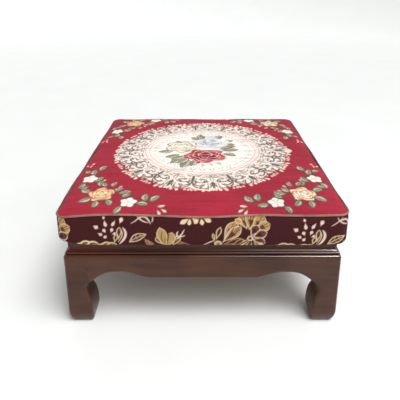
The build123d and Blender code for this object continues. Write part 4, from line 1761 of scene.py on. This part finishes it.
@dataclass
class Studio:
    """A pale floor that rises into a backdrop, soft daylight from the right, and the camera."""

    lens: float = 36.45
    sensor: float = 36.0
    camera_at: Place = (0.0, -0.8438, 0.5943)
    tilt_down: float = 15.4
    shift: Spot = (-0.006, -0.26)
    floor_half: float = 6.0
    rings: int = 60
    spokes: int = 96
    backdrop: float = 2.2
    rise_from: float = 0.7
    rise_to: float = 1.25
    sky: float = 0.38
    sky_tint: Colour = (1, 1, 0.995)

    def build(self) -> None:
        """Makes the floor, the lights, the sky and the camera."""
        bpy.context.scene.view_settings.view_transform = "Standard"
        self.lay_floor()
        self.daylight("soft_sun", way=(0.32, -0.28, 1.0), strength=2.7, spread=32.0)
        self.light("key_light", (1.45, -0.85, 1.55), (0.0, 0.0, 0.12), size=0.7, power=6.0)
        self.light("front_window", (0.62, -1.75, 1.95), (0.0, 0.0, 0.10), size=0.7, power=10.0)
        glint = self.light("edge_glint", (0.95, -1.30, 1.90), (0.05, -0.2, 0.12), size=0.5, power=90.0)
        glint.visible_diffuse = False
        world = bpy.data.worlds.new("daylight")
        bpy.context.scene.world = world
        world.use_nodes = True
        sky = world.node_tree.nodes["Background"].inputs
        sky["Color"].default_value = (*self.sky_tint, 1)
        sky["Strength"].default_value = self.sky
        self.place_camera()

    def lay_floor(self) -> None:
        """A round floor, level out to 4.2 m, that sweeps up into a low pale backdrop by a soft step."""
        rings, spokes = self.rings, self.spokes
        far = np.linspace(0.0, 1.0, rings + 1)[1:, None] ** 1.5 * self.floor_half
        angle = np.arange(spokes)[None] * TURN / spokes
        slope = smooth(far, self.floor_half * self.rise_from, self.floor_half * self.rise_to)
        height = np.broadcast_to(2 * self.backdrop * slope, (rings, spokes))
        around = np.dstack([far * np.cos(angle), far * np.sin(angle), height])
        points = np.concatenate([around.reshape(-1, 3), [[0, 0, 0]]])
        number = np.arange(rings * spokes).reshape(rings, spokes)
        fan = np.stack([np.full(spokes, rings * spokes), number[0], np.roll(number[0], -1)], axis=1)
        desk = Desk("floor_paint")
        mottle = desk.noise(desk.place(), 5.0, 3.0)
        colour = desk.blend(mottle, dye(219, 221, 220), dye(227, 228, 227))
        finish = desk.finish(base_color=colour, roughness=0.6 + mottle * 0.1)
        floor = make_piece("floor", points, [sheet_faces(looped(number, 1))[:, ::-1], fan], finish)

    def hang(self, name: str, kind: str, strength: float, way: np.ndarray) -> bpy.types.Object:
        """Hangs a lamp.

        Args:
            name: its name.
            kind: its type.
            strength: its power, or how strongly a sun lights.
            way: the direction that it looks in.

        Returns:
            The lamp.
        """
        data = bpy.data.lights.new(name, kind)
        data.energy = strength
        lamp = bpy.data.objects.new(name, data)
        bpy.context.scene.collection.objects.link(lamp)
        x, y, z = (float(part) for part in way)
        lamp.rotation_euler = (math.atan2(math.hypot(x, y), -z), 0, math.atan2(y, x) - math.pi / 2)
        return lamp

    def daylight(self, name: str, way: Place, strength: float, spread: float) -> None:
        """Light that comes from one way everywhere, over a disc of sky of that many degrees."""
        lamp = self.hang(name, "SUN", strength, -np.array(way))
        lamp.data.angle = math.radians(spread)

    def light(self, name: str, place: Place, target: Place, size: float, power: float) -> bpy.types.Object:
        """One square soft light that looks at a target.

        Args:
            name: its name.
            place: where it hangs.
            target: the point that it looks at.
            size: its side.
            power: its power in watts.

        Returns:
            The lamp.
        """
        lamp = self.hang(name, "AREA", power, np.array(target) - np.array(place))
        lamp.data.size = size
        lamp.location = place
        return lamp

    def place_camera(self) -> None:
        """The camera in front of the bench, looking down on it."""
        data = bpy.data.cameras.new("camera")
        data.lens = self.lens
        data.sensor_width = self.sensor
        data.shift_x, data.shift_y = self.shift
        camera = bpy.data.objects.new("camera", data)
        bpy.context.scene.collection.objects.link(camera)
        camera.location = self.camera_at
        camera.rotation_euler = (math.radians(90 - self.tilt_down), 0, 0)
        bpy.context.scene.camera = camera


def main() -> None:
    """Builds the looks in order."""
    logging.basicConfig(level=logging.INFO, format="%(name)s: %(message)s")
    Studio().build()
    Stand().dress()
    Cushion().build()
    Zip().dress()


if __name__ == "__main__":
    main()
